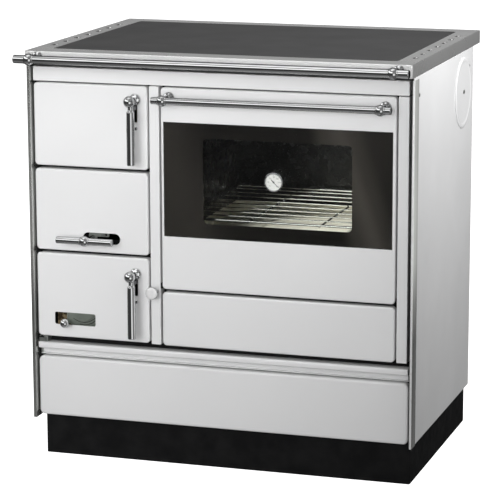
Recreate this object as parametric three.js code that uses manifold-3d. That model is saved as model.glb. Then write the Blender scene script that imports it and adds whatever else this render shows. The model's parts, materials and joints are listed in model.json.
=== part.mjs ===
// Solid-fuel cookstove with oven: built as an assembly of separate sheet, cast and turned pieces.
// Units are millimetres, +Z is up, the fronts of the doors look along -Y.
// Depths (y) below are counted from the front face of the hob frame; the whole group is moved by -YC so
// that the origin lies under the middle of the object, on the floor.
import * as THREE from 'three';
import { mergeVertices } from 'three/addons/utils/BufferGeometryUtils.js';
import Module from 'manifold-3d';

const wasm = await Module();
wasm.setup();

// ---------------------------------------------------------------- driving dimensions
const W = 800;            // width over the hob frame
const D = 600;            // depth over the hob frame
const H = 850;            // height to the cooking surface
const FRAME_T = 27;       // height of the hob frame's apron
const YC = 271;           // shift that centres the object in depth
const ZF = H - FRAME_T;   // underside of the apron, 823
const HX = W / 2;         // 400

const PLATE = { x0: -357, x1: 357, y0: 47, y1: 556, t: 9.7 };   // cooking plate
const FACE = 20;          // front plane of doors and fascia
const PAN = 18;           // depth of a pressed door
const SHEET = 2;          // sheet thickness of enamelled panels
const FF0 = 44, FF1 = 47; // front frame plate
const SIDE_BOTTOM = 85.4; // lower edge of the side panels
const BODY_BACK = 534;    // back edge of the side panels
const TRIM_FRONT = 12, TRIM_BACK = 43.4;   // chrome edge strips

const LEFT = { x0: -391, x1: -147.3 };            // left column of doors
const FIRE = { z0: 614.9, z1: 784.0 };
const MID = { z0: 440.5, z1: 608.6 };
const ASH = { z0: 259.1, z1: 434.2 };
const PILLAR = { x0: -143.4, x1: -123.1, z0: 258.0, z1: 785.2 };
const RPILLAR = { x0: 367.2, x1: 388.4, z0: 257.2, z1: 785.2 };
const FASCIA = { z0: 787.1, z1: 816.2 };
const OVEN = { x0: -119.5, x1: 363.2, z0: 374.1, z1: 784.0 };
const GLASS = { x0: -114.2, x1: 357.0, z0: 483.0, z1: 715.1 };
const WINDOW = { x0: -32.0, x1: 274.4, z0: 512.6, z1: 684.4 };
const FLAP = { z0: 256.9, z1: 368.0 };
const LEDGE = { z0: 232.0, z1: 245.3 };
const GRIP = { z0: 217.4, z1: 231.0 };
const DRAWER = { x0: -392, x1: 392, z0: 90.5, z1: 215.6 };

const DOOR_AXIS = { x: -384.5, y: 26 };           // vertical hinge line of the two left doors
const OVEN_AXIS = { y: 27, z: 380 };              // horizontal hinge line of the oven door
const LEVER_Y = -16;                              // pivot line of the door levers
const FIRE_LEVER = { x: -172, z: 757 };
const ASH_LEVER = { x: -175, z: 402 };
const RIDDLE = { x: -272, z: 470, y: -16 };
const AIR_PULL = { x: -134, z: 369 };
const SHUTTER = { x: -324, z: 293.5 };
const THERMO = { x: 118.1, z: 606.3, r: 19.5 };
const RAIL = { y: -46, z: 838, r: 8.6, half: 404, ball: 372 };
const HANDLE = { x: 120, y: -22, z: 763, r: 7.2, half: 243.5, ball: 221.5 };
const COVER = { y: 439, z: 737, r: 74.5 };
const COLLAR = { x: 130, z: 742, r: 60 };

// ---------------------------------------------------------------- materials
const mat = (hex, roughness, metalness, extra = {}) => new THREE.MeshStandardMaterial({ color: hex, roughness, metalness, ...extra });
const ENAMEL = () => mat(0xe9eaec, 0.22, 0.0);
const BLACK = () => mat(0x1b1c1c, 0.55, 0.2);
const CHROME = () => mat(0xd9dbdd, 0.08, 1.0);
const STEEL = () => mat(0xb4b6b8, 0.32, 1.0);
const PLATE_M = () => mat(0x4b4b4c, 0.5, 0.3);
const CAST = () => mat(0x2a2a2b, 0.75, 0.5);
const ZINC = () => mat(0x9aa09b, 0.45, 0.8);
const BRICK = () => mat(0xcdb48c, 0.9, 0.0);
const DARK_ENAMEL = () => mat(0x24262a, 0.3, 0.1);
const GLASS_M = () => mat(0x2b2824, 0.05, 0.0, { transparent: true, opacity: 0.5 });

// ---------------------------------------------------------------- geometry helpers
function solid(geometry) {
  let g = geometry.index ? geometry.toNonIndexed() : geometry.clone();
  g.deleteAttribute('normal');
  g.deleteAttribute('uv');
  g = mergeVertices(g, 1e-4);
  const src = g.index.array, keep = [];
  for (let i = 0; i < src.length; i += 3) {
    const a = src[i], b = src[i + 1], c = src[i + 2];
    if (a !== b && b !== c && a !== c) keep.push(a, b, c);
  }
  return new wasm.Manifold(new wasm.Mesh({
    numProp: 3,
    vertProperties: new Float32Array(g.attributes.position.array),
    triVerts: new Uint32Array(keep),
  }));
}
function toGeometry(m) {
  const mesh = m.getMesh();
  const g = new THREE.BufferGeometry();
  const n = mesh.vertProperties.length / mesh.numProp;
  const pos = new Float32Array(n * 3);
  for (let i = 0; i < n; i++) for (let k = 0; k < 3; k++) pos[i * 3 + k] = mesh.vertProperties[i * mesh.numProp + k];
  g.setAttribute('position', new THREE.BufferAttribute(pos, 3));
  g.setIndex(new THREE.BufferAttribute(new Uint32Array(mesh.triVerts), 1));
  g.computeVertexNormals();
  return g;
}
const box = (x0, x1, y0, y1, z0, z1) =>
  solid(new THREE.BoxGeometry(x1 - x0, y1 - y0, z1 - z0).translate((x0 + x1) / 2, (y0 + y1) / 2, (z0 + z1) / 2));
const cylY = (r, y0, y1, x, z, n = 12) => solid(new THREE.CylinderGeometry(r, r, y1 - y0, n).translate(x, (y0 + y1) / 2, z));
const cylX = (r, x0, x1, y, z, n = 12) => solid(new THREE.CylinderGeometry(r, r, x1 - x0, n).rotateZ(Math.PI / 2).translate((x0 + x1) / 2, y, z));
const cylZ = (r, z0, z1, x, y, n = 12) => solid(new THREE.CylinderGeometry(r, r, z1 - z0, n).rotateX(Math.PI / 2).translate(x, y, (z0 + z1) / 2));
const ball = (r, x, y, z, a = 12, b = 8) => solid(new THREE.SphereGeometry(r, a, b).translate(x, y, z));
function polygon(points) {
  const s = new THREE.Shape();
  points.forEach(([a, b], i) => (i ? s.lineTo(a, b) : s.moveTo(a, b)));
  s.closePath();
  return s;
}
function roundRect(a0, a1, b0, b1, r) {
  const s = new THREE.Shape();
  s.moveTo(a0 + r, b0); s.lineTo(a1 - r, b0); s.absarc(a1 - r, b0 + r, r, -Math.PI / 2, 0, false);
  s.lineTo(a1, b1 - r); s.absarc(a1 - r, b1 - r, r, 0, Math.PI / 2, false);
  s.lineTo(a0 + r, b1); s.absarc(a0 + r, b1 - r, r, Math.PI / 2, Math.PI, false);
  s.lineTo(a0, b0 + r); s.absarc(a0 + r, b0 + r, r, Math.PI, 1.5 * Math.PI, false);
  return s;
}
// shape in (x, z), pushed along y from y0 to y1
const alongY = (shape, y0, y1, seg = 4) =>
  solid(new THREE.ExtrudeGeometry(shape, { depth: y1 - y0, bevelEnabled: false, curveSegments: seg }).rotateX(Math.PI / 2).translate(0, y1, 0));
// shape in (y, z), pushed along x from x0 to x1
const alongX = (shape, x0, x1, seg = 4) =>
  solid(new THREE.ExtrudeGeometry(shape, { depth: x1 - x0, bevelEnabled: false, curveSegments: seg }).rotateY(Math.PI / 2).rotateX(Math.PI / 2).translate(x0, 0, 0));
// shape in (x, y), pushed along z
const alongZ = (shape, z0, z1, seg = 4) =>
  solid(new THREE.ExtrudeGeometry(shape, { depth: z1 - z0, bevelEnabled: false, curveSegments: seg }).translate(0, 0, z0));
const rrY = (x0, x1, z0, z1, r, y0, y1, seg = 3) => alongY(roundRect(x0, x1, z0, z1, r), y0, y1, seg);
const rrZ = (x0, x1, y0, y1, r, z0, z1, seg = 2) => alongZ(roundRect(x0, x1, y0, y1, r), z0, z1, seg);
// turned piece about a line parallel to y through (x, z); profile is [radius, y] pairs, on the axis at both ends
function turned(profile, n) {
  let area = 0;
  profile.forEach(([r, y], i) => { const [r2, y2] = profile[(i + 1) % profile.length]; area += r * y2 - r2 * y; });
  const p = area > 0 ? profile : [...profile].reverse();
  return new THREE.LatheGeometry(p.map(([r, y]) => new THREE.Vector2(r, y)), n);
}
const turnY = (profile, x, z, n = 20) => solid(turned(profile, n).translate(x, 0, z));
const stadium = (x0, x1, zc, h, y0, y1) => rrY(x0, x1, zc - h / 2, zc + h / 2, h / 2 - 0.01, y0, y1, 5);
const join = (first, ...rest) => rest.reduce((a, b) => a.add(b), first);
const cut = (first, ...rest) => rest.reduce((a, b) => a.subtract(b), first);

const stove = new THREE.Group();
stove.position.set(0, -YC, 0);
function put(name, body, material, parent = stove) {
  const mesh = new THREE.Mesh(toGeometry(body), material);
  mesh.name = name;
  parent.add(mesh);
  return mesh;
}
// pressed sheet-metal pan: a face with its edges folded back, open behind
const pan = (x0, x1, z0, z1, r, y0 = FACE, depth = PAN, t = SHEET) =>
  cut(rrY(x0, x1, z0, z1, r, y0, y0 + depth), rrY(x0 + t, x1 - t, z0 + t, z1 - t, Math.max(r - t, 1), y0 + t, y0 + depth + 1));

// ---------------------------------------------------------------- plinth, base and casing
put('plinth', (() => {
  const x = 389.9, y0 = 51.8, y1 = 540, z1 = 92.0;
  let b = cut(box(-x, x, y0, y1, 0, z1), box(-x + 2, x - 2, y0 + 2, y1 - 2, 2, z1 - 2));
  b = cut(b, box(-x + 32, x - 32, y0 + 32, y1 - 32, -1, z1 + 1));
  return b;
})(), BLACK());
put('base_plate', box(-397.4, 397.4, FF1 + 0.3, BODY_BACK - 0.6, 92.4, 94.4), ZINC());

const sideWall = (s) => {
  const a = Math.min(s * 398, s * 400), b = Math.max(s * 398, s * 400);
  const wall = box(a, b, TRIM_FRONT + 2.0, BODY_BACK, SIDE_BOTTOM, ZF - 0.4);
  const fold = s < 0 ? box(-398.2, -386, BODY_BACK - 2, BODY_BACK, 94.8, ZF - 0.4) : box(386, 398.2, BODY_BACK - 2, BODY_BACK, 94.8, ZF - 0.4);
  return join(wall, fold);
};
put('side_panel_left', sideWall(-1), ENAMEL());
put('side_panel_right', cut(sideWall(1), cylX(62, 390, 410, COVER.y, COVER.z, 20)), ENAMEL());
const strip = (s) => {
  const i0 = s < 0 ? 394.6 : 396.3, i1 = s < 0 ? 396 : 397.6;
  const p = [[400.3, TRIM_BACK], [401.9, TRIM_BACK], [401.9, TRIM_FRONT], [i0, TRIM_FRONT], [i0, TRIM_BACK], [i1, TRIM_BACK], [i1, TRIM_FRONT + 1.6], [400.3, TRIM_FRONT + 1.6]];
  const q = (s < 0 ? p.map(([x, y]) => [-x, y]).reverse() : p);
  return alongZ(polygon(q), SIDE_BOTTOM, ZF - 5);
};
put('edge_trim_left', strip(-1), CHROME());
put('edge_trim_right', strip(1), CHROME());
put('side_cover', (() => {
  const disc = turned([[0, 401.4], [60, 401.4], [64, 403.6], [69.5, 404], [COVER.r, 402.6], [COVER.r, 400.3], [0, 400.3]], 24);
  return solid(disc.rotateZ(-Math.PI / 2).translate(0, COVER.y, COVER.z));
})(), ENAMEL());
put('rear_panel', (() => {
  let b = box(-396, 396, BODY_BACK + 0.4, BODY_BACK + 2.4, 94.8, ZF - 0.6);
  b = cut(b, cylY(COLLAR.r + 1.6, 500, 560, COLLAR.x, COLLAR.z, 20));
  for (let i = 0; i < 6; i++) b = cut(b, box(-240 + i * 22, -230 + i * 22, 500, 560, 300, 380));
  return b;
})(), ZINC());

// ---------------------------------------------------------------- hob
put('hob_frame', (() => {
  let b = rrZ(-HX, HX, 0, D, 4, ZF, H);
  b = cut(b, box(-HX + 2, HX - 2, 2, D - 2, ZF - 1, H - 2.5));
  // lip and ledge that carry the cooking plate
  b = join(b, box(PLATE.x0 - 2.4, PLATE.x1 + 2.4, PLATE.y0 - 2.4, PLATE.y1 + 2.4, 838, H - 1));
  b = cut(b, rrZ(PLATE.x0 - 0.4, PLATE.x1 + 0.4, PLATE.y0 - 0.4, PLATE.y1 + 0.4, 4, 840, H + 1), box(PLATE.x0 + 8, PLATE.x1 - 8, PLATE.y0 + 8, PLATE.y1 - 8, 830, H + 1));
  for (let i = 0; i < 7; i++) for (const s of [-1, 1]) b = cut(b, rrZ(s * 378 - 4.6, s * 378 + 4.6, 97.5 + i * 61.6, 119.5 + i * 61.6, 4.5, H - 10, H + 1));
  return b;
})(), STEEL());
put('hob_plate', rrZ(PLATE.x0, PLATE.x1, PLATE.y0, PLATE.y1, 4, 840.3, H), PLATE_M());

// rosette on the face, post, and the ball that holds a bar
const bracket = (x, z, face, yBall, rBall, rBar, rRose) => {
  const y1 = face - 0.3;
  const foot = turnY([[0, y1], [rRose, y1], [rRose, y1 - 2.5], [rRose * 0.78, y1 - 5.5], [5, y1 - 7.5], [5, yBall + 2], [0, yBall + 2]], x, z, 12);
  const b = join(foot, ball(rBall, x, yBall, z));
  return cut(b, cylX(rBar + 0.4, x - 40, x + 40, yBall, z));
};
const bar = (x0, x1, y, z, r) => join(cylX(r, x0 + 1.2, x1 - 1.2, y, z), cylX(r - 1.2, x0, x1, y, z));
put('towel_rail', bar(-RAIL.half, RAIL.half, RAIL.y, RAIL.z, RAIL.r), CHROME());
put('rail_bracket_left', bracket(-RAIL.ball, RAIL.z, 0, RAIL.y, 12, RAIL.r, 11), CHROME());
put('rail_bracket_right', bracket(RAIL.ball, RAIL.z, 0, RAIL.y, 12, RAIL.r, 11), CHROME());

// ---------------------------------------------------------------- fixed front
const channel = (x0, x1, z0, z1, depth) =>
  cut(box(x0, x1, FACE, FACE + depth, z0, z1), box(x0 + SHEET, x1 - SHEET, FACE + SHEET, FACE + depth + 1, z0 + SHEET, z1 - SHEET));
put('fascia', channel(-391, 388.4, FASCIA.z0, FASCIA.z1, FF0 - FACE - 0.3), ENAMEL());
put('centre_pillar', cut(channel(PILLAR.x0, PILLAR.x1, PILLAR.z0, PILLAR.z1, FF0 - FACE - 0.3), cylY(4.2, 10, 60, AIR_PULL.x, AIR_PULL.z, 14)), ENAMEL());
put('right_pillar', channel(RPILLAR.x0, RPILLAR.x1, RPILLAR.z0, RPILLAR.z1, FF0 - FACE - 0.3), ENAMEL());
put('middle_panel', cut(pan(LEFT.x0, LEFT.x1, MID.z0, MID.z1, 8, FACE, FF0 - FACE - 0.3), stadium(-288.5, -208.4, RIDDLE.z, 22.5, 10, 30)), ENAMEL());
put('ledge', (() => {
  // nose strip above, finger recess for the drawer below, one folded profile
  const p = [[FACE, LEDGE.z1], [FF0 - 0.3, LEDGE.z1], [FF0 - 0.3, GRIP.z0], [FACE + 14, GRIP.z0], [FACE + 14, GRIP.z0 + 1.6], [FF0 - 2.3, GRIP.z0 + 1.6], [FF0 - 2.3, LEDGE.z0], [FACE, LEDGE.z0]];
  return alongX(polygon(p), -391, 391);
})(), ENAMEL());

put('front_frame', (() => {
  let b = box(-397.4, 397.4, FF0, FF1, 94.9, 820);
  b = cut(b,
    box(-360, -162, 0, 60, 628, 770),          // fire door
    box(-365, -162, 0, 60, 270, 425),          // ash door
    box(-280, -215, 0, 60, 463.5, 476.5),      // riddling rod
    box(-98, 343, 0, 60, 434, 730),            // oven
    box(-20, 264, 0, 60, 288, 346),            // soot opening
    box(-374, 374, 0, 60, 98, 211),            // drawer
    cylY(4.2, 0, 60, AIR_PULL.x, AIR_PULL.z, 14));
  // hinge lugs of the two left doors, each with its pins
  const lug = (z0, z1, up, down) => {
    let l = box(-389.5, -379.5, FACE + 1.5, FF0 + 0.5, z0, z1);
    if (up) l = join(l, cylZ(2.5, z0, z1 + up, DOOR_AXIS.x, DOOR_AXIS.y, 12));
    if (down) l = join(l, cylZ(2.5, z0 - down, z1, DOOR_AXIS.x, DOOR_AXIS.y, 12));
    return l;
  };
  b = join(b, lug(784.8, 786.4, 0, 8), lug(611.0, 612.8, 10, 0), lug(436.2, 438.2, 0, 10), lug(254.4, 256.6, 10, 0));
  // hinge lugs of the oven door
  b = join(b, box(-122.6, -120.4, 22, FF0 + 0.5, 374.6, 386), cylX(2.5, -122.6, -111, OVEN_AXIS.y, OVEN_AXIS.z, 12));
  b = join(b, box(364.6, 366.8, 22, FF0 + 0.5, 374.6, 386), cylX(2.5, 355, 366.8, OVEN_AXIS.y, OVEN_AXIS.z, 12));
  // keepers beside the latch noses
  b = join(b, box(-167.6, -161.5, FF1 - 1, 57, 747, 751), box(-167.6, -161.5, FF1 - 1, 57, 392, 396));
  return b;
})(), BLACK());
put('soot_cover', (() => {
  let b = box(-26, 270, FF0 - 3.3, FF0 - 0.3, 282, 352);
  b = join(b, box(104, 140, FF0 - 12, FF0 - 3, 314, 320));
  return b;
})(), CAST());

// ---------------------------------------------------------------- firebox and ash chamber
put('firebox_shell', (() => {
  const x0 = -376, x1 = -150, y0 = FF1 + 0.3, y1 = 500, z0 = 262, z1 = 837.4, t = 3;
  let b = cut(box(x0, x1, y0, y1, z0, z1), box(x0 + t, x1 - t, y0 - 1, y1 - t, z0 + t, 482), box(x0 + t, x1 - t, y0 - 1, y1 - t, 485, z1 + 1));
  b = cut(b, box(-334, -192, 92, 452, 470, 490));              // hole under the grate
  b = cut(b, box(x1 - 10, x1 + 5, 100, 440, 790, 838));        // smoke way over the oven
  return b;
})(), CAST());
const brick = (...a) => box(...a);
put('firebrick_left', brick(-372.7, -342.7, 62, 466, 485.3, 800), BRICK());
put('firebrick_right', brick(-183.3, -153.3, 62, 466, 485.3, 786), BRICK());
put('firebrick_rear', brick(-372.7, -153.3, 466.4, 496.6, 485.3, 800), BRICK());
put('firebrick_front', brick(-342.3, -183.7, 50, 78, 485.3, 612), BRICK());
put('grate', (() => {
  let b = box(-342.3, -183.7, 84, 460, 485.3, 495);
  for (let i = 0; i < 6; i++) for (let j = 0; j < 2; j++) b = cut(b, box(-330 + i * 23.5, -319 + i * 23.5, 100 + j * 178, 262 + j * 178, 470, 500));
  return b;
})(), CAST());
put('grate_slider', (() => {
  let b = box(-332, -244, 100, 445, 474.3, 480.8);
  for (let i = 0; i < 3; i++) b = cut(b, box(-324 + i * 27, -312 + i * 27, 112, 262, 470, 490), box(-324 + i * 27, -312 + i * 27, 280, 432, 470, 490));
  return b;
})(), CAST());
put('riddling_handle', join(
  bar(RIDDLE.x - 60, RIDDLE.x + 60, RIDDLE.y, RIDDLE.z, 7.2),
  ball(10.5, RIDDLE.x, RIDDLE.y, RIDDLE.z),
  cylY(4, RIDDLE.y, 430, RIDDLE.x, RIDDLE.z, 8)), CHROME());
put('ash_pan', (() => {
  let b = cut(box(-352, -172, 62, 440, 265.3, 332), box(-350, -170 - 4, 64, 438, 267.3, 340));
  b = join(b, box(-282, -242, 58.6, 62.5, 316, 320));
  return b;
})(), ZINC());

// ---------------------------------------------------------------- oven
put('oven_liner', (() => {
  const x0 = -102, x1 = 347, z0 = 430, z1 = 734, y0 = FF1 + 0.3, y1 = 470, t = 2;
  let b = cut(box(x0, x1, y0, y1, z0, z1), box(x0 + t, x1 - t, y0 - 1, y1 - t, z0 + t, z1 - t));
  for (const z of [458, 509, 610, 668]) {
    b = join(b, box(x0 + 1, x0 + 14, 60, 455, z, z + 2), box(x1 - 14, x1 - 1, 60, 455, z, z + 2));
  }
  return b;
})(), DARK_ENAMEL());
put('smoke_jacket', (() => {
  const x0 = -118, x1 = 388, z0 = 376, z1 = 837.4, y0 = FF1 + 0.3, y1 = 505, t = 2;
  let b = cut(box(x0, x1, y0, y1, z0, z1), box(x0 + t, x1 - t, y0 - 1, y1 - t, z0 + t, z1 + 1));
  b = cut(b, box(x0 - 5, x0 + 10, 100, 440, 790, 838));
  b = cut(b, cylY(COLLAR.r - 2, 495, 510, COLLAR.x, COLLAR.z, 20));
  // sleeve of the side outlet
  b = join(b, cylX(61, 387, 397.6, COVER.y, COVER.z, 20));
  b = cut(b, cylX(58.5, 380, 400, COVER.y, COVER.z, 20));
  // seat of the air valve, a lug on the left wall
  b = join(b, cut(join(box(-149.6, -118.4, 300.5, 303.5, 345, 393), box(-119, -117, 300.5, 303.5, 377, 393)), cylY(9.5, 290, 310, AIR_PULL.x, AIR_PULL.z, 16)));
  return b;
})(), CAST());
put('flue_collar', (() => {
  const c = cut(cylY(COLLAR.r, 505.3, 592, COLLAR.x, COLLAR.z, 20), cylY(COLLAR.r - 2, 500, 600, COLLAR.x, COLLAR.z, 20));
  return join(c, cut(cylY(COLLAR.r + 12, 505.3, 507.5, COLLAR.x, COLLAR.z, 20), cylY(COLLAR.r - 2, 500, 600, COLLAR.x, COLLAR.z, 20)));
})(), BLACK());
put('oven_rack', (() => {
  const x0 = -98.6, x1 = 343.6, y0 = 64, y1 = 452, z = 514, r = 2.6;
  let b = join(cylX(r, x0, x1, y0, z, 6), cylX(r, x0, x1, y1, z, 6), cylY(r, y0, y1, x0 + r, z, 6), cylY(r, y0, y1, x1 - r, z, 6));
  for (let i = 1; i < 9; i++) b = join(b, cylX(1.7, x0, x1, y0 + i * (y1 - y0) / 9, z, 5));
  for (const x of [48, 197]) b = join(b, cylY(1.9, y0, y1, x, z - 2.5, 6));
  return b;
})(), CHROME());
put('baking_tray', (() => {
  let b = cut(rrZ(-97.5, 342.5, 64, 452, 10, 460.4, 482), rrZ(-96, 341, 65.5, 450.5, 9, 461.6, 486));
  return b;
})(), ZINC());

// ---------------------------------------------------------------- drawer
put('drawer_front', pan(DRAWER.x0, DRAWER.x1, DRAWER.z0, DRAWER.z1, 11, FACE + 2, PAN), ENAMEL());
put('drawer_box', (() => {
  let b = cut(box(-358, 358, 40.4, 500, 104, 200), box(-356.4, 356.4, 42, 498.4, 105.6, 210));
  b = join(b, box(-371, -357, 52, 498, 147, 153), box(357, 371, 52, 498, 147, 153));
  return b;
})(), ZINC());
const runner = (s) => {
  const p = [[366, 142], [376, 142], [376, 158], [366, 158], [366, 156.4], [374.2, 156.4], [374.2, 143.6], [366, 143.6]];
  const q = s < 0 ? p.map(([x, z]) => [-x, z]).reverse() : p;
  return alongY(polygon(q), FF1 + 0.3, BODY_BACK - 0.2);
};
put('runner_left', runner(-1), ZINC());
put('runner_right', runner(1), ZINC());

// ---------------------------------------------------------------- left doors
const leverSlit = (l) => box(l.x - 3.6, l.x + 3.6, 10, 30, l.z - 46, l.z + 1);
const pinHoles = (z0, z1) => join(cylZ(2.85, z0 - 1, z0 + 4, DOOR_AXIS.x, DOOR_AXIS.y, 12), cylZ(2.85, z1 - 4, z1 + 1, DOOR_AXIS.x, DOOR_AXIS.y, 12));
put('fire_door_panel', cut(pan(LEFT.x0, LEFT.x1, FIRE.z0, FIRE.z1, 8), leverSlit(FIRE_LEVER), pinHoles(FIRE.z0, FIRE.z1)), ENAMEL());
put('fire_door_inner', cut(box(-372, -156, 38.3, 42.3, FIRE.z0 + 5, FIRE.z1 - 5), box(FIRE_LEVER.x - 7, FIRE_LEVER.x + 7, 30, 50, FIRE_LEVER.z - 56, FIRE_LEVER.z - 6)), CAST());
put('ash_door_panel', cut(pan(LEFT.x0, LEFT.x1, ASH.z0, ASH.z1, 8), leverSlit(ASH_LEVER), pinHoles(ASH.z0, ASH.z1), rrY(-353.5, -264.7, 285.4, 311, 3.5, 10, 30)), ENAMEL());
put('ash_door_inner', cut(box(-372, -156, 38.3, 42.3, ASH.z0 + 5, ASH.z1 - 5), box(ASH_LEVER.x - 7, ASH_LEVER.x + 7, 30, 50, ASH_LEVER.z - 56, ASH_LEVER.z - 6), box(-358, -260, 30, 50, 281, 315)), CAST());
const leverPost = (l) => {
  const y1 = FACE - 0.3;
  return join(
    turnY([[0, y1], [12, y1], [12, y1 - 2.5], [9.4, y1 - 5.2], [4.2, y1 - 7], [4.2, LEVER_Y - 3], [0, LEVER_Y - 3]], l.x, l.z, 12),
    cylX(2, l.x - 8.5, l.x + 8.5, LEVER_Y, l.z, 8));
};
const lever = (l) => {
  let b = ball(11.6, l.x, LEVER_Y, l.z);
  b = join(b, cylZ(4.5, l.z - 22, l.z - 8, l.x + 1, LEVER_Y, 8), cylZ(8.2, l.z - 127, l.z - 20, l.x + 2.5, LEVER_Y));
  b = join(b, alongX(polygon([[LEVER_Y - 2, l.z - 12.6], [LEVER_Y - 2, l.z - 20], [53.5, l.z - 20], [53.5, l.z - 12.6]]), l.x - 2.6, l.x + 2.6));
  // slot that clears the post while the lever swings, and the pivot bore
  b = cut(b, alongX(polygon([[LEVER_Y - 6.5, l.z + 6], [LEVER_Y - 6.5, l.z - 6], [LEVER_Y + 3, l.z - 6], [LEVER_Y + 14, l.z - 6], [LEVER_Y + 14, l.z + 14], [LEVER_Y + 3, l.z + 14]]), l.x - 4.6, l.x + 4.6));
  return cut(b, cylX(2.4, l.x - 12, l.x + 12, LEVER_Y, l.z, 8));
};
put('fire_lever_post', leverPost(FIRE_LEVER), CHROME());
put('ash_lever_post', leverPost(ASH_LEVER), CHROME());
put('fire_lever', lever(FIRE_LEVER), CHROME());
put('ash_lever', lever(ASH_LEVER), CHROME());
put('air_shutter', (() => {
  const s = new THREE.Shape();
  s.moveTo(-328, 318); s.lineTo(-328, 288); s.lineTo(-316, 288);
  for (const [x, z] of [[-306, 289.5], [-296, 292.5], [-286, 297], [-277, 303], [-269, 310]]) s.lineTo(x, z);
  s.lineTo(-262, 311); s.lineTo(-238, 311); s.lineTo(-238, 318); s.closePath();
  return join(alongY(s, 22.5, 24.1), cylY(2.6, 4, 23, SHUTTER.x, SHUTTER.z, 8), ball(9.2, SHUTTER.x, -1, SHUTTER.z));
})(), ZINC());

// ---------------------------------------------------------------- air pull in the centre pillar
put('air_pull_knob', turnY([[0, -7], [9, -7], [12, -5.5], [13, -3], [13, 0], [11.6, 2.6], [7, 6], [6.2, 9], [6.2, 16.6], [7.6, 19.7], [3.3, 19.7], [3.3, 9], [0, 9]], AIR_PULL.x, AIR_PULL.z, 14), CHROME());
put('air_pull_rod', join(cylY(3, 9.4, 300, AIR_PULL.x, AIR_PULL.z, 8), cylY(12.5, 297, 300, AIR_PULL.x, AIR_PULL.z, 14)), ZINC());

// ---------------------------------------------------------------- oven door
const axisHole = (x0, x1) => cylX(2.85, x0, x1, OVEN_AXIS.y, OVEN_AXIS.z, 12);
put('oven_door_shell', cut(pan(OVEN.x0, OVEN.x1, OVEN.z0, OVEN.z1, 8), box(GLASS.x0, GLASS.x1, 10, 30, GLASS.z0, GLASS.z1), axisHole(-121, -109), axisHole(353, 366)), ENAMEL());
put('oven_door_glass', cut(rrY(GLASS.x0 + 0.4, GLASS.x1 - 0.4, GLASS.z0 + 0.4, GLASS.z1 - 0.4, 1.5, 20.6, 24.6), cylY(3.9, 10, 30, THERMO.x, THERMO.z, 12)), GLASS_M());
put('oven_door_mask', cut(box(-116.6, 360.3, 25.0, 26.6, 474, 724), rrY(WINDOW.x0, WINDOW.x1, WINDOW.z0, WINDOW.z1, 9, 10, 40)), BLACK());
put('oven_door_liner', cut(box(-106, 350, 38.3, 42.3, 388, 776), rrY(WINDOW.x0 - 4, WINDOW.x1 + 4, WINDOW.z0 - 4, WINDOW.z1 + 4, 10, 10, 60)), DARK_ENAMEL());
put('oven_inner_glass', cut(box(WINDOW.x0 - 18, WINDOW.x1 + 18, 33.6, 37.6, WINDOW.z0 - 18, WINDOW.z1 + 18), cylY(3.9, 10, 60, THERMO.x, THERMO.z, 12)), GLASS_M());
put('oven_handle', bar(HANDLE.x - HANDLE.half, HANDLE.x + HANDLE.half, HANDLE.y, HANDLE.z, HANDLE.r), CHROME());
put('oven_handle_bracket_left', bracket(HANDLE.x - HANDLE.ball, HANDLE.z, FACE, HANDLE.y, 11, HANDLE.r, 12), CHROME());
put('oven_handle_bracket_right', bracket(HANDLE.x + HANDLE.ball, HANDLE.z, FACE, HANDLE.y, 11, HANDLE.r, 12), CHROME());
put('thermometer_case', turnY([[0, 12.4], [16.4, 12.4], [16.4, 10.9], [17, 10.9], [17, 9.4], [18.6, 9.0], [THERMO.r, 10.4], [THERMO.r, 17.5], [18, 20.3], [3.5, 20.3], [3.5, 50], [0, 50]], THERMO.x, THERMO.z, 16), CHROME());
put('thermometer_needle', join(
  alongY(polygon([[THERMO.x - 5, THERMO.z + 4.2], [THERMO.x - 4.2, THERMO.z + 5], [THERMO.x + 10.4, THERMO.z - 9.4], [THERMO.x + 9.6, THERMO.z - 10.2]].reverse()), 11.2, 11.7),
  cylY(2.1, 11.0, 12.1, THERMO.x, THERMO.z, 8)), BLACK());

// ---------------------------------------------------------------- panel under the oven door
put('lower_cover', pan(OVEN.x0, OVEN.x1, FLAP.z0, FLAP.z1, 8), ENAMEL());

export default stove;
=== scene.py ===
import math
import json
import bpy
from mathutils import Matrix, Vector
from mathutils.geometry import tessellate_polygon

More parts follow.
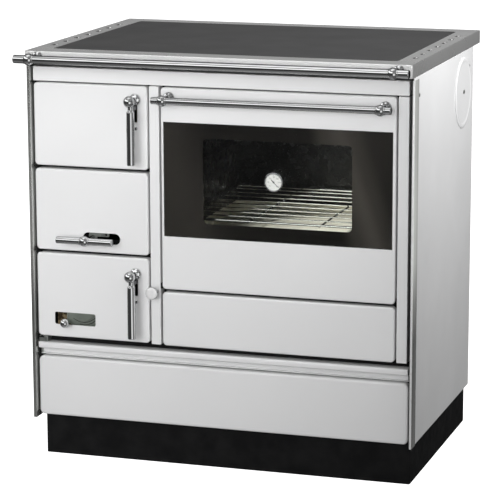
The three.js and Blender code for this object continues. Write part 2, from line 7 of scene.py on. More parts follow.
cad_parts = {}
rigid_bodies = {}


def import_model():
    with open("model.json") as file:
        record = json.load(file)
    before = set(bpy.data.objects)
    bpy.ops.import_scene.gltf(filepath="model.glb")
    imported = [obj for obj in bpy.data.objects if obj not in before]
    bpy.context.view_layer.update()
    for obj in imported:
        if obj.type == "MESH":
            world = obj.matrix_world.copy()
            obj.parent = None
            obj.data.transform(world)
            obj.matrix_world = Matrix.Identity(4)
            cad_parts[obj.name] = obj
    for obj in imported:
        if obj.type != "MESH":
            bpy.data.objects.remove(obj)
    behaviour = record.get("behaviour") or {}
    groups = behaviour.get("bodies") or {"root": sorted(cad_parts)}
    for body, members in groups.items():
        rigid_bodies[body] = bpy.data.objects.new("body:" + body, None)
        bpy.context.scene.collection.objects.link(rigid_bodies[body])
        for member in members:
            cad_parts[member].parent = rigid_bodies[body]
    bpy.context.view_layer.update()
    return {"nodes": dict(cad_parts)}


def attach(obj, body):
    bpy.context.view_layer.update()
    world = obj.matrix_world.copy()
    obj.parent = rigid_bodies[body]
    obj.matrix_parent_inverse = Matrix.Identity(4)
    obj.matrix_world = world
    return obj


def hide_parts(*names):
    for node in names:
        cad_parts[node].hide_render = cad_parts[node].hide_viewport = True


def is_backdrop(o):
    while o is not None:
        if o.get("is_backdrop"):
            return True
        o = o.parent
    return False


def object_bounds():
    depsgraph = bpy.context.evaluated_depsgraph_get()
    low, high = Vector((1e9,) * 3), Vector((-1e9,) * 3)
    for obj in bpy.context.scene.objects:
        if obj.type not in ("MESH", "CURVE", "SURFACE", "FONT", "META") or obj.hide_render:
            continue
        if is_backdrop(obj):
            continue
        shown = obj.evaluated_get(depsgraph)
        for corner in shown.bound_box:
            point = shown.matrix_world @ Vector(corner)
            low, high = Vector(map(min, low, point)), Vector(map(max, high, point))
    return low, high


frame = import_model()

# Sizes are millimetres; depths (y) are counted from the front face of the hob frame, as in the CAD source.
YC = 271.0


# ------------------------------------------------------------------ outlines
def unit(a, b):
    n = math.hypot(a, b) or 1.0
    return a / n, b / n


class Rect:
    """rounded rectangle; pts(o) is the same outline grown outward by o"""

    def __init__(self, a0, a1, b0, b1, r, n=8):
        self.q = (a0, a1, b0, b1, r, n)

    def _corners(self, o):
        a0, a1, b0, b1, r, n = self.q
        a0, a1, b0, b1, r = a0 - o, a1 + o, b0 - o, b1 + o, max(r + o, 0.15)
        out = []
        for ca, cb, t0 in ((a1 - r, b0 + r, -90), (a1 - r, b1 - r, 0), (a0 + r, b1 - r, 90), (a0 + r, b0 + r, 180)):
            for i in range(n + 1):
                t = math.radians(t0 + 90 * i / n)
                out.append((ca + r * math.cos(t), cb + r * math.sin(t), math.cos(t), math.sin(t)))
        return out

    def pts(self, o):
        return [(a, b) for a, b, _, _ in self._corners(o)]

    def normals(self):
        d = [(c, s) for _, _, c, s in self._corners(0)]
        return [(d[i], d[(i + 1) % len(d)]) for i in range(len(d))]


class Circle:
    def __init__(self, a, b, r, n=40):
        self.q = (a, b, r, n)

    def pts(self, o):
        a, b, r, n = self.q
        return [(a + (r + o) * math.cos(2 * math.pi * i / n), b + (r + o) * math.sin(2 * math.pi * i / n)) for i in range(n)]

    def normals(self):
        n = self.q[3]
        d = [(math.cos(2 * math.pi * i / n), math.sin(2 * math.pi * i / n)) for i in range(n)]
        return [(d[i], d[(i + 1) % n]) for i in range(n)]


def area(p):
    return 0.5 * sum(p[i][0] * p[(i + 1) % len(p)][1] - p[(i + 1) % len(p)][0] * p[i][1] for i in range(len(p)))


def polyline_normals(p, s, closed, limit):
    """for each segment the normals at its two ends, averaged where the bend is gentle"""
    m = len(p) if closed else len(p) - 1
    seg = []
    for i in range(m):
        (a, b), (c, d) = p[i], p[(i + 1) % len(p)]
        x, y = unit(c - a, d - b)
        seg.append((y * s, -x * s))
    out = []
    for i in range(m):
        ends = []
        for j in ((i - 1), (i + 1)):
            if not closed and (j < 0 or j >= m):
                ends.append(seg[i])
                continue
            q = seg[j % m]
            dot = q[0] * seg[i][0] + q[1] * seg[i][1]
            ends.append(unit(q[0] + seg[i][0], q[1] + seg[i][1]) if dot > math.cos(math.radians(limit)) else seg[i])
        out.append((ends[0], ends[1]))
    return out


class Poly:
    def __init__(self, p, limit=40):
        self.p = p if area(p) > 0 else p[::-1]
        self.limit = limit

    def pts(self, o):
        p, out = self.p, []
        for i in range(len(p)):
            (a, b), (c, d), (e, f) = p[i - 1], p[i], p[(i + 1) % len(p)]
            x1, y1 = unit(c - a, d - b)
            x2, y2 = unit(e - c, f - d)
            n1, n2 = (y1, -x1), (y2, -x2)
            k = o / max(0.2, 1 + n1[0] * n2[0] + n1[1] * n2[1])
            out.append((c + (n1[0] + n2[0]) * k, d + (n1[1] + n2[1]) * k))
        return out

    def normals(self):
        return polyline_normals(self.p, 1, True, self.limit)


def rounded(p, r, closed=False, n=4):
    """polyline p with fillets; r is one radius or one per point"""
    r = r if isinstance(r, (list, tuple)) else [r] * len(p)
    out = []
    for i, (cx, cy) in enumerate(p):
        if (not closed and i in (0, len(p) - 1)) or r[i] <= 0:
            out.append((cx, cy))
            continue
        ax, ay = p[i - 1]
        bx, by = p[(i + 1) % len(p)]
        u, v = unit(ax - cx, ay - cy), unit(bx - cx, by - cy)
        dot = max(-0.9999, min(0.9999, u[0] * v[0] + u[1] * v[1]))
        half = math.acos(dot) / 2
        if half > math.radians(88):
            out.append((cx, cy))
            continue
        d = min(r[i] / math.tan(half), 0.4999 * math.hypot(ax - cx, ay - cy) if (closed or i > 1) and r[i - 1] > 0 else math.hypot(ax - cx, ay - cy),
                0.4999 * math.hypot(bx - cx, by - cy) if (closed or i < len(p) - 2) and r[(i + 1) % len(p)] > 0 else math.hypot(bx - cx, by - cy))
        rr = d * math.tan(half)
        mx, my = unit(u[0] + v[0], u[1] + v[1])
        ox, oy = cx + mx * rr / math.sin(half), cy + my * rr / math.sin(half)
        a0 = math.atan2(cy + u[1] * d - oy, cx + u[0] * d - ox)
        a1 = math.atan2(cy + v[1] * d - oy, cx + v[0] * d - ox)
        da = (a1 - a0 + math.pi) % (2 * math.pi) - math.pi
        out += [(ox + rr * math.cos(a0 + da * k / n), oy + rr * math.sin(a0 + da * k / n)) for k in range(n + 1)]
    clean = []
    for q in out:
        if not clean or math.hypot(q[0] - clean[-1][0], q[1] - clean[-1][1]) > 1e-3:
            clean.append(q)
    if closed and math.hypot(clean[0][0] - clean[-1][0], clean[0][1] - clean[-1][1]) < 1e-3:
        clean.pop()
    return clean


X, Y, Z = Vector((1, 0, 0)), Vector((0, 1, 0)), Vector((0, 0, 1))
AX = {"xz": (X, Z, Y), "yz": (Y, Z, X), "xy": (X, Y, Z)}
O = Vector((0, 0, 0))


# ------------------------------------------------------------------ mesh builder
class Build:
    def __init__(self):
        self.v, self.f, self.n, self.m = [], [], [], []

    def ring(self, pts):
        i = len(self.v)
        self.v.extend(pts)
        return list(range(i, len(self.v)))

    def face(self, idx, nor, mat=0):
        k = [j for j in range(len(idx)) if (self.v[idx[j]] - self.v[idx[j - 1]]).length > 2e-4]
        idx, nor = [idx[j] for j in k], [nor[j] for j in k]
        if len(idx) < 3:
            return
        g = Vector((0, 0, 0))
        for j in range(len(idx)):
            g += self.v[idx[j - 1]].cross(self.v[idx[j]])
        if g.length < 1e-7:
            return
        s = Vector((0, 0, 0))
        for q in nor:
            s += q
        if g.dot(s) < 0:
            idx, nor = idx[::-1], nor[::-1]
        self.f.append(idx)
        self.n.append(nor)
        self.m.append(mat)

    def strip(self, A, B, NA, NB, mat=0):
        n = len(A)
        for j in range(n):
            k = (j + 1) % n
            self.face([A[j], A[k], B[k], B[j]], [NA[j][0], NA[j][1], NB[j][1], NB[j][0]], mat)

    def fill(self, loops, normal, mat=0):
        flat = [i for L in loops for i in L]
        for t in tessellate_polygon([[self.v[i] for i in L] for L in loops]):
            self.face([flat[k] for k in t], [normal] * 3, mat)

    def stack(self, outline, prof, plane, s=1, mat=0, closed=False, limit=40, origin=O):
        ea, eb, ec = AX[plane] if isinstance(plane, str) else plane
        on = outline.normals()
        pn = polyline_normals(prof, s, closed, limit)
        rings = [self.ring([origin + ea * a + eb * b + ec * c for a, b in outline.pts(o)]) for o, c in prof]
        for i in range(len(pn)):
            na = [tuple(((ea * q[0] + eb * q[1]) * pn[i][0][0] + ec * pn[i][0][1]).normalized() for q in e) for e in on]
            nb = [tuple(((ea * q[0] + eb * q[1]) * pn[i][1][0] + ec * pn[i][1][1]).normalized() for q in e) for e in on]
            self.strip(rings[i], rings[(i + 1) % len(rings)], na, nb, mat)
        return rings

    def slab(self, outline, c0, c1, plane, bev=0.5, holes=(), mat=0, n=3, hbev=None, limit=40, origin=O):
        """plate between c0 and c1 with rounded edges and holes"""
        ec = (AX[plane] if isinstance(plane, str) else plane)[2]
        hb = bev if hbev is None else hbev
        p = rounded([(-bev, c0), (0, c0), (0, c1), (-bev, c1)], [0, bev, bev, 0], n=n)
        r = self.stack(outline, p, plane, 1, mat, limit=limit, origin=origin)
        h = [self.stack(q, rounded([(hb, c0), (0, c0), (0, c1), (hb, c1)], [0, hb, hb, 0], n=n), plane, -1, mat, limit=limit, origin=origin) for q in holes]
        self.fill([r[0]] + [q[0] for q in h], -ec, mat)
        self.fill([r[-1]] + [q[-1] for q in h], ec, mat)

    def lathe(self, prof, origin, axis, n=48, mat=0, closed=False, limit=35):
        """turned piece; prof is [radius, height along axis]"""
        axis = axis.normalized()
        e1 = axis.orthogonal().normalized() if abs(axis.dot(Z)) > 0.9 else axis.cross(Z).normalized()
        e2 = axis.cross(e1)
        s = 1 if area(prof) > 0 else -1
        pn = polyline_normals(prof, s, closed, limit)
        d = [e1 * math.cos(2 * math.pi * i / n) + e2 * math.sin(2 * math.pi * i / n) for i in range(n)]
        rings = [self.ring([origin + axis * h + q * r for q in d]) for r, h in prof]
        for i in range(len(pn)):
            (r0, h0), (r1, h1) = pn[i]
            na = [((d[j] * r0 + axis * h0), (d[(j + 1) % n] * r0 + axis * h0)) for j in range(n)]
            nb = [((d[j] * r1 + axis * h1), (d[(j + 1) % n] * r1 + axis * h1)) for j in range(n)]
            self.strip(rings[i], rings[(i + 1) % len(rings)], na, nb, mat)

    def rod(self, p0, p1, r, e=1.0, n=40, mat=0):
        p0, p1 = Vector(p0), Vector(p1)
        L = (p1 - p0).length
        self.lathe(rounded([(0, 0), (r, 0), (r, L), (0, L)], [0, e, e, 0], n=4), p0, p1 - p0, n, mat)

    def ball(self, c, r, n=40, m=22, mat=0):
        self.lathe([(r * math.sin(math.pi * i / m), -r * math.cos(math.pi * i / m)) for i in range(m + 1)], Vector(c), Y, n, mat, limit=60)

    def tube(self, path, r, closed=False, n=12, mat=0):
        """round wire along a path of points"""
        path = [Vector(p) for p in path]
        m = len(path)
        rings, dirs = [], []
        up = None
        for i in range(m):
            a = path[i - 1] if (closed or i) else path[i]
            b = path[(i + 1) % m] if (closed or i < m - 1) else path[i]
            t = (b - a).normalized()
            if up is None:
                up = t.orthogonal().normalized() if abs(t.dot(Z)) > 0.9 else Z.copy()
            up = (up - t * up.dot(t)).normalized()
            side = t.cross(up)
            d = [up * math.cos(2 * math.pi * k / n) + side * math.sin(2 * math.pi * k / n) for k in range(n)]
            dirs.append(d)
            rings.append(self.ring([path[i] + q * r for q in d]))
        for i in range(m if closed else m - 1):
            j = (i + 1) % m
            self.strip(rings[i], rings[j], [(dirs[i][k], dirs[i][(k + 1) % n]) for k in range(n)], [(dirs[j][k], dirs[j][(k + 1) % n]) for k in range(n)], mat)
        if not closed:
            self.fill([rings[0]], (path[0] - path[1]).normalized(), mat)
            self.fill([rings[-1]], (path[-1] - path[-2]).normalized(), mat)

    def screw(self, c, out, r=4.0, h=2.0, mat=0):
        """pan head with a cross recess; c is on the surface, out points away from it"""
        c, out = Vector(c), Vector(out).normalized()
        e1 = out.orthogonal().normalized()
        e2 = out.cross(e1)
        head = Circle(0, 0, r, 28)
        p = rounded([(0, 0), (0, h * 0.55), (-r * 0.18, h * 0.9), (-r * 0.34, h)], [0, 0.4, 0.6, 0], n=3)
        rings = self.stack(head, p, (e1, e2, out), 1, mat, limit=70, origin=c)
        a, b = r * 0.5, r * 0.14
        cross = [(a, -b), (a, b), (b, b), (b, a), (-b, a), (-b, b), (-a, b), (-a, -b), (-b, -b), (-b, -a), (b, -a), (b, -b)]
        hole = self.stack(Poly(cross, 10), [(0, h), (-0.12 * r, h * 0.35)], (e1, e2, out), 1, mat, origin=c)
        self.fill([rings[-1], hole[0]], out, mat)
        self.fill([hole[-1]], out, mat)
        self.fill([rings[0]], -out, mat)

    def facing(self, direction, mat, least=0.8):
        """faces that look along direction get another material"""
        for i, q in enumerate(self.n):
            if all(v.dot(direction) > least for v in q):
                self.m[i] = mat

    def done(self, name, body, mats, replaces=()):
        key, verts, remap = {}, [], []
        for p in self.v:
            k = (round(p.x, 3), round(p.y, 3), round(p.z, 3))
            if k not in key:
                key[k] = len(verts)
                verts.append((p.x / 1000, (p.y - YC) / 1000, p.z / 1000))
            remap.append(key[k])
        faces, nor, mi, used = [], [], [], set()
        for f, n, m in zip(self.f, self.n, self.m):
            g = [remap[i] for i in f]
            keep = [j for j in range(len(g)) if g[j] != g[j - 1]]
            g, q = [g[j] for j in keep], [n[j] for j in keep]
            if len(set(g)) < 3 or len(set(g)) != len(g):
                continue
            faces.append(g)
            nor.extend(q)
            mi.append(m)
            used.update(g)
        order = {v: i for i, v in enumerate(sorted(used))}
        me = bpy.data.meshes.new(name)
        me.from_pydata([verts[v] for v in sorted(used)], [], [[order[i] for i in g] for g in faces])
        for m in (mats if isinstance(mats, (list, tuple)) else [mats]):
            me.materials.append(m)
        me.polygons.foreach_set("use_smooth", [True] * len(faces))
        me.polygons.foreach_set("material_index", mi)
        me.update()
        me.normals_split_custom_set([tuple(v.normalized()) for v in nor])
        ob = bpy.data.objects.new(name, me)
        bpy.context.scene.collection.objects.link(ob)
        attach(ob, body)
        if replaces:
            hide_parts(*([replaces] if isinstance(replaces, str) else replaces))
        return ob


# ------------------------------------------------------------------ materials
def procedural(name, dark, light, tone=(4.0, 3.0), rough=(0.2, 0.3), rough_scale=12.0, metallic=0.0, bump=None,
               stretch=(1, 1, 1), cells=None, ramp=(0.35, 0.65), **sockets):
    """Principled surface whose colour, roughness and relief come from noise in object space (metres)"""
    m = bpy.data.materials.new(name)
    m.use_nodes = True
    nt = m.node_tree
    p = nt.nodes["Principled BSDF"]
    tc = nt.nodes.new("ShaderNodeTexCoord")
    mp = nt.nodes.new("ShaderNodeMapping")
    mp.inputs["Scale"].default_value = stretch
    nt.links.new(tc.outputs["Object"], mp.inputs["Vector"])

    def noise(scale, detail=3.0, r=0.5):
        n = nt.nodes.new("ShaderNodeTexNoise")
        n.inputs["Scale"].default_value = scale
        n.inputs["Detail"].default_value = detail
        n.inputs["Roughness"].default_value = r
        nt.links.new(mp.outputs["Vector"], n.inputs["Vector"])
        return n

    if cells:
        src = nt.nodes.new("ShaderNodeTexVoronoi")
        src.inputs["Scale"].default_value = cells
        nt.links.new(mp.outputs["Vector"], src.inputs["Vector"])
        sep = nt.nodes.new("ShaderNodeSeparateColor")
        nt.links.new(src.outputs["Color"], sep.inputs["Color"])
        fac = sep.outputs["Red"]
    else:
        fac = noise(*tone).outputs["Fac"]
    cr = nt.nodes.new("ShaderNodeValToRGB")
    cr.color_ramp.elements[0].position, cr.color_ramp.elements[1].position = ramp
    cr.color_ramp.elements[0].color = (*dark, 1)
    cr.color_ramp.elements[1].color = (*light, 1)
    nt.links.new(fac, cr.inputs["Fac"])
    nt.links.new(cr.outputs["Color"], p.inputs["Base Color"])
    mr = nt.nodes.new("ShaderNodeMapRange")
    mr.inputs["From Min"].default_value, mr.inputs["From Max"].default_value = 0.3, 0.7
    mr.inputs["To Min"].default_value, mr.inputs["To Max"].default_value = rough
    nt.links.new(noise(rough_scale).outputs["Fac"], mr.inputs["Value"])
    nt.links.new(mr.outputs["Result"], p.inputs["Roughness"])
    p.inputs["Metallic"].default_value = metallic
    if bump:
        b = nt.nodes.new("ShaderNodeBump")
        b.inputs["Strength"].default_value = bump[1]
        b.inputs["Distance"].default_value = bump[2]
        nt.links.new(noise(bump[0], 4.0, 0.55).outputs["Fac"], b.inputs["Height"])
        nt.links.new(b.outputs["Normal"], p.inputs["Normal"])
    for k, v in sockets.items():
        p.inputs[k.replace("_", " ")].default_value = v
    return m


RUST = procedural("heat_stained_sheet", (0.035, 0.022, 0.010), (0.34, 0.27, 0.16), (110, 5.0), (0.45, 0.65), 60, 0.4, bump=(300, 0.2, 0.0006), ramp=(0.42, 0.62))
ENAMEL = procedural("white_enamel", (0.795, 0.796, 0.800), (0.822, 0.823, 0.826), (2.6, 3.0), (0.17, 0.25), 9.0, bump=(150, 0.05, 0.0004))
BLACK = procedural("black_paint", (0.0095, 0.0096, 0.0100), (0.0145, 0.0145, 0.0148), (30, 5.0), (0.55, 0.7), 60, bump=(900, 0.12, 0.0004), Specular_IOR_Level=0.03)
CHROME = procedural("chrome", (0.82, 0.83, 0.835), (0.90, 0.905, 0.91), (14, 4.0), (0.025, 0.05), 40, 1.0, Specular_Tint=(0.10, 0.10, 0.105, 1))
# painted reflection: polished round parts are darkened towards their rim by a facing ramp, standing in for the dark
# surroundings they would mirror there
nt = CHROME.node_tree
painted_rim_facing = nt.nodes.new("ShaderNodeLayerWeight")
painted_rim_facing.inputs["Blend"].default_value = 0.5
rim = nt.nodes.new("ShaderNodeValToRGB")
rim.color_ramp.elements[0].position, rim.color_ramp.elements[0].color = 0.50, (1, 1, 1, 1)
rim.color_ramp.elements[1].position, rim.color_ramp.elements[1].color = 0.92, (0.07, 0.07, 0.075, 1)
rim.color_ramp.elements.new(0.74).color = (0.38, 0.38, 0.385, 1)
nt.links.new(painted_rim_facing.outputs["Facing"], rim.inputs["Fac"])
mul_ = nt.nodes.new("ShaderNodeMix")
mul_.data_type, mul_.blend_type = "RGBA", "MULTIPLY"
mul_.inputs["Factor"].default_value = 1.0
bc_ = nt.nodes["Principled BSDF"].inputs["Base Color"]
nt.links.new(bc_.links[0].from_socket, mul_.inputs[6])
nt.links.new(rim.outputs["Color"], mul_.inputs[7])
nt.links.new(mul_.outputs[2], bc_)
# painted reflection: the edge strips' colour is multiplied by bands along their height that stand in for the
# reflections they show, and the left and right strips are lit and shaded copies with different metallic and tone
TRIM_L_PAINTED_REFLECTION = procedural("chrome_trim_left_painted_reflection", (0.88, 0.89, 0.88), (0.93, 0.94, 0.92), (14, 4.0), (0.12, 0.18), 30, 0.80, stretch=(1, 1, 0.05))
TRIM_R_PAINTED_REFLECTION = procedural("chrome_trim_right_painted_reflection", (0.93, 0.94, 0.93), (0.97, 0.98, 0.96), (14, 4.0), (0.12, 0.18), 30, 0.42, stretch=(1, 1, 0.05))
for mat_, painted_reflection_stops_ in ((TRIM_L_PAINTED_REFLECTION, ((0.09, 0.62), (0.21, 0.54), (0.30, 0.40), (0.42, 0.80), (0.55, 0.95), (0.68, 0.75), (0.82, 0.66))),
                     (TRIM_R_PAINTED_REFLECTION, ((0.09, 0.28), (0.20, 0.20), (0.30, 0.18), (0.38, 0.50), (0.46, 1.0), (0.56, 1.0), (0.68, 0.70), (0.82, 0.60)))):
    nt = mat_.node_tree
    tcp = nt.nodes.new("ShaderNodeTexCoord")
    sxp = nt.nodes.new("ShaderNodeSeparateXYZ")
    nt.links.new(tcp.outputs["Object"], sxp.inputs["Vector"])
    painted_reflection_ramp_ = nt.nodes.new("ShaderNodeValToRGB")
    e_ = painted_reflection_ramp_.color_ramp.elements
    e_[0].position, e_[1].position = painted_reflection_stops_[0][0], painted_reflection_stops_[-1][0]
    for q_, v_ in painted_reflection_stops_[1:-1]:
        e_.new(q_)
    for i, (q_, v_) in enumerate(painted_reflection_stops_):
        e_[i].color = (v_, v_ * 1.005, v_ * 0.985, 1)
    nt.links.new(sxp.outputs["Z"], painted_reflection_ramp_.inputs["Fac"])
    mul_ = nt.nodes.new("ShaderNodeMix")
    mul_.data_type, mul_.blend_type = "RGBA", "MULTIPLY"
    mul_.inputs["Factor"].default_value = 1.0
    bc_ = nt.nodes["Principled BSDF"].inputs["Base Color"]
    nt.links.new(bc_.links[0].from_socket, mul_.inputs[6])
    nt.links.new(painted_reflection_ramp_.outputs["Color"], mul_.inputs[7])
    nt.links.new(mul_.outputs[2], bc_)
# painted reflection: a pale, mostly matt metal that stands in for the white reflections on the pull knob's front disc
# and on the right edge strip's front face
SATIN_PAINTED_REFLECTION = procedural("satin_painted_reflection", (0.86, 0.86, 0.86), (0.94, 0.94, 0.94), (90, 3.0), (0.30, 0.38), 60, 0.25)
STEEL = procedural("brushed_steel", (0.65, 0.65, 0.645), (0.69, 0.69, 0.685), (3, 3.0), (0.26, 0.31), 6, 0.82, stretch=(0.5, 2, 2))
# painted light: a lighter copy of the brushed steel, given to the hob rim's front faces so they read brighter than its
# top
STEEL_FACE_PAINTED_LIGHT = procedural("brushed_steel_front_painted_light", (0.82, 0.82, 0.815), (0.88, 0.88, 0.875), (4, 3.0), (0.26, 0.32), 8, 0.35, stretch=(0.4, 3, 3))
PLATE = procedural("hob_plate", (0.0395, 0.0395, 0.040), (0.0425, 0.0425, 0.0425), (5, 3.0), (0.44, 0.48), 12, bump=(900, 0.02, 0.0002), Specular_IOR_Level=0.18)
CAST = procedural("cast_iron", (0.020, 0.020, 0.020), (0.050, 0.049, 0.047), (45, 6.0), (0.6, 0.8), 50, 0.35, bump=(420, 0.35, 0.0008))
ZINC = procedural("zinc_sheet", (0.36, 0.38, 0.36), (0.52, 0.54, 0.51), (20, 3.0), (0.32, 0.5), 70, 0.85, bump=(260, 0.08, 0.0004), cells=85.0, ramp=(0.1, 0.9))
SHUTTER_M = procedural("shutter_plate", (0.26, 0.30, 0.26), (0.36, 0.40, 0.35), (26, 4.0), (0.30, 0.42), 40, 0.7, bump=(300, 0.08, 0.0004))
TRAY_M = procedural("tray_steel", (0.74, 0.71, 0.60), (0.86, 0.84, 0.74), (12, 4.0), (0.30, 0.42), 45, 0.35, bump=(300, 0.06, 0.0004))
BRICK = procedural("firebrick", (0.42, 0.33, 0.22), (0.62, 0.53, 0.38), (38, 7.0), (0.8, 0.95), 60, bump=(330, 0.5, 0.0015))
DARK = procedural("dark_enamel", (0.006, 0.007, 0.008), (0.030, 0.034, 0.040), (420, 2.0), (0.20, 0.32), 60, bump=(420, 0.05, 0.0004), ramp=(0.60, 0.72))
PRINT_AND_PAINTED_REFLECTION = procedural("glass_print", (0.0020, 0.0017, 0.0013), (0.0520, 0.0470, 0.0415), (5, 4.0), (0.40, 0.50), 30, bump=(900, 0.03, 0.0002), Specular_IOR_Level=0.10)
# painted reflection: soft slanting bands, lighter towards the print's left and right ends, stand in for reflections in
# the glass over the dark print
nt = PRINT_AND_PAINTED_REFLECTION.node_tree
tcp = nt.nodes.new("ShaderNodeTexCoord")
sxp = nt.nodes.new("ShaderNodeSeparateXYZ")
nt.links.new(tcp.outputs["Object"], sxp.inputs["Vector"])
mad = nt.nodes.new("ShaderNodeMath")
mad.operation = "MULTIPLY_ADD"
nt.links.new(sxp.outputs["Z"], mad.inputs[0])
mad.inputs[1].default_value = 0.34
nt.links.new(sxp.outputs["X"], mad.inputs[2])
painted_reflection_band_ = nt.nodes.new("ShaderNodeValToRGB")
painted_reflection_band_.color_ramp.interpolation = "EASE"
e_ = painted_reflection_band_.color_ramp.elements
e_[0].position, e_[0].color = 0.04, (0.30, 0.30, 0.30, 1)
e_[1].position, e_[1].color = 0.66, (0.16, 0.16, 0.16, 1)
for q_, v_ in ((0.11, 0.36), (0.225, 0.03), (0.42, 0.02), (0.455, 0.55), (0.49, 0.95), (0.515, 0.55), (0.55, 0.20)):
    e_.new(q_).color = (v_, v_, v_, 1)
nt.links.new(mad.outputs[0], painted_reflection_band_.inputs["Fac"])
cr_ = next(n for n in nt.nodes if n.type == "VALTORGB" and n != painted_reflection_band_)
nt.links.new(painted_reflection_band_.outputs["Color"], cr_.inputs["Fac"])
cr_.color_ramp.elements[0].position, cr_.color_ramp.elements[1].position = 0.0, 1.0
GLASS = procedural("glass", (0.90, 0.91, 0.89), (0.95, 0.955, 0.94), (3, 2.0), (0.0, 0.012), 8, **{"Transmission_Weight": 1.0, "IOR": 1.46, "Specular_IOR_Level": 0.4})
DIAL = procedural("dial_white", (0.80, 0.80, 0.79), (0.88, 0.88, 0.87), (70, 3.0), (0.35, 0.45), 60)
INK = procedural("dial_ink", (0.045, 0.045, 0.05), (0.09, 0.09, 0.095), (300, 3.0), (0.5, 0.6), 90)


# ------------------------------------------------------------------ driving dimensions (as in the CAD source)
ZF, H = 823.0, 850.0
TRIM_FRONT, TRIM_BACK, TRIM_TOP = 12.0, 43.4, 818.0
FACE, PAN = 20.0, 18.0
SIDE_BOTTOM, BODY_BACK = 85.4, 534.0
LEFT = (-391.0, -147.3)
FIRE, MID, ASH = (614.9, 784.0), (440.5, 608.6), (259.1, 434.2)
OVEN = (-119.5, 363.2, 374.1, 784.0)
GLS = (-114.2, 357.0, 483.0, 715.1)
WIN = (-32.0, 274.4, 512.6, 684.4)
FIRE_LEVER, ASH_LEVER, LEVER_Y = (-172.0, 757.0), (-175.0, 402.0), -16.0
RIDDLE = (-272.0, -16.0, 470.0)
AIR = (-134.0, 369.0)
SHUT = (-324.0, 293.5)
THERMO = (118.1, 606.3)


def pan(name, body, x0, x1, z0, z1, r, y0=FACE, depth=PAN, R=4.2, t=2.0, holes=(), hb=0.7, replaces=None, slot="white_enamel", mat=None):
    """pressed panel: flat face, edges rolled back, open behind; holes are (outline, rim radius)"""
    B = Build()
    p = rounded([(-R, y0), (0, y0), (0, y0 + depth), (-t, y0 + depth), (-t, y0 + t), (-R - 0.4, y0 + t)],
                [0, R, 0.5, 0.5, max(R - t, 0.3), 0], n=7)
    rings = B.stack(Rect(x0, x1, z0, z1, r, 10), p, "xz")
    hs = [B.stack(q, rounded([(hb, y0), (0, y0), (0, y0 + t)], [0, hb, 0], n=4), "xz", -1) for q in holes]
    B.fill([rings[0]] + [h[0] for h in hs], -Y)
    B.fill([rings[-1]] + [h[-1] for h in hs], Y)
    return B.done(name, body, mat or ENAMEL, replaces or name)


def stadium(x0, x1, zc, h):
    return Rect(x0, x1, zc - h / 2, zc + h / 2, h / 2 - 0.01, 12)


# ------------------------------------------------------------------ plinth and casing
B = Build()
B.stack(Rect(-389.9, 389.9, 51.8, 540, 3, 5),
        rounded([(0, 0), (0, 92), (-32, 92), (-32, 90), (-2, 90), (-2, 2), (-32, 2), (-32, 0)], [1.6, 1.6, 0.6, 0.6, 0.4, 0.4, 0.6, 0.6], True, 3),
        "xy", 1, closed=True)
B.done("plinth_shell", "root", BLACK, "plinth")

for s, side in ((-1, "left"), (1, "right")):
    B = Build()
    hole = [Circle(439, 737, 62, 56)] if s > 0 else []
    B.slab(Rect(TRIM_FRONT + 2, BODY_BACK, SIDE_BOTTOM, ZF - 0.4, 1.0, 3), min(s * 398, s * 400), max(s * 398, s * 400), "yz", 0.6, hole)
    B.slab(Rect(min(s * 386, s * 398), max(s * 386, s * 398), 94.8, ZF - 0.4, 0.8, 3), BODY_BACK - 2, BODY_BACK, "xz", 0.4)
    B.done("side_wall_" + side, "root", ENAMEL, "side_panel_" + side)
    B = Build()
    i0, i1 = (394.6, 396.0) if s < 0 else (396.3, 397.6)
    p = [(400.3, TRIM_BACK), (401.9, TRIM_BACK), (401.9, TRIM_FRONT), (i0, TRIM_FRONT), (i0, TRIM_BACK), (i1, TRIM_BACK), (i1, TRIM_FRONT + 1.6), (400.3, TRIM_FRONT + 1.6)]
    p = rounded([(s * a, b) for a, b in p], [0.4, 0.4, 1.3, 1.3, 0.4, 0.4, 0.3, 0.3], True, 4)
    B.slab(Poly(p), SIDE_BOTTOM, TRIM_TOP, "xy", 0.4)
    # on the right strip the front faces take the pale satin as a painted highlight and the faces turned inward take
    # black paint as painted shade
    if s > 0:
        B.facing(-Y, 1)
        B.facing(-X, 2)
    B.done("edge_strip_" + side, "root", [TRIM_R_PAINTED_REFLECTION if s > 0 else TRIM_L_PAINTED_REFLECTION, SATIN_PAINTED_REFLECTION, BLACK], "edge_trim_" + side)
    B = Build()
    for y, z in ((50.4, 785.1), (492.7, 786.5)):
        B.screw((s * 400, y, z), X * s, 3.6, 1.8)
    B.done("side_screws_" + side, "root", ZINC)

B = Build()
ring = rounded([(0, 401.2), (57, 401.2), (63, 401.4), (66.5, 402.1), (70.5, 402.1), (74.5, 401.1), (74.5, 400.3), (0, 400.3)], [0, 3, 6, 4, 4, 0.8, 0.3, 0], n=6)
B.lathe(ring, Vector((0, 439, 737)), X, 72)
B.done("outlet_cover", "root", ENAMEL, "side_cover")
B = Build()
B.screw((401.3, 439, 739), X, 4.2, 2.2)
B.done("outlet_cover_screw", "root", ZINC)

B = Build()
B.slab(Rect(-396, 396, 94.8, ZF - 0.6, 2, 3), BODY_BACK + 0.4, BODY_BACK + 2.4, "xz", 0.5,
       [Circle(130, 742, 61.6, 56)] + [Rect(-240 + i * 22, -230 + i * 22, 300, 380, 4.9, 6) for i in range(6)])
B.done("back_sheet", "root", ZINC, "rear_panel")
B = Build()
for x in (-384, -130, 130, 384):
    for z in (106, 810):
        B.screw((x, BODY_BACK + 2.4, z), Y, 4, 2)
for x in (-384, 384):
    for z in (340, 575):
        B.screw((x, BODY_BACK + 2.4, z), Y, 4, 2)
B.done("back_screws", "root", ZINC)

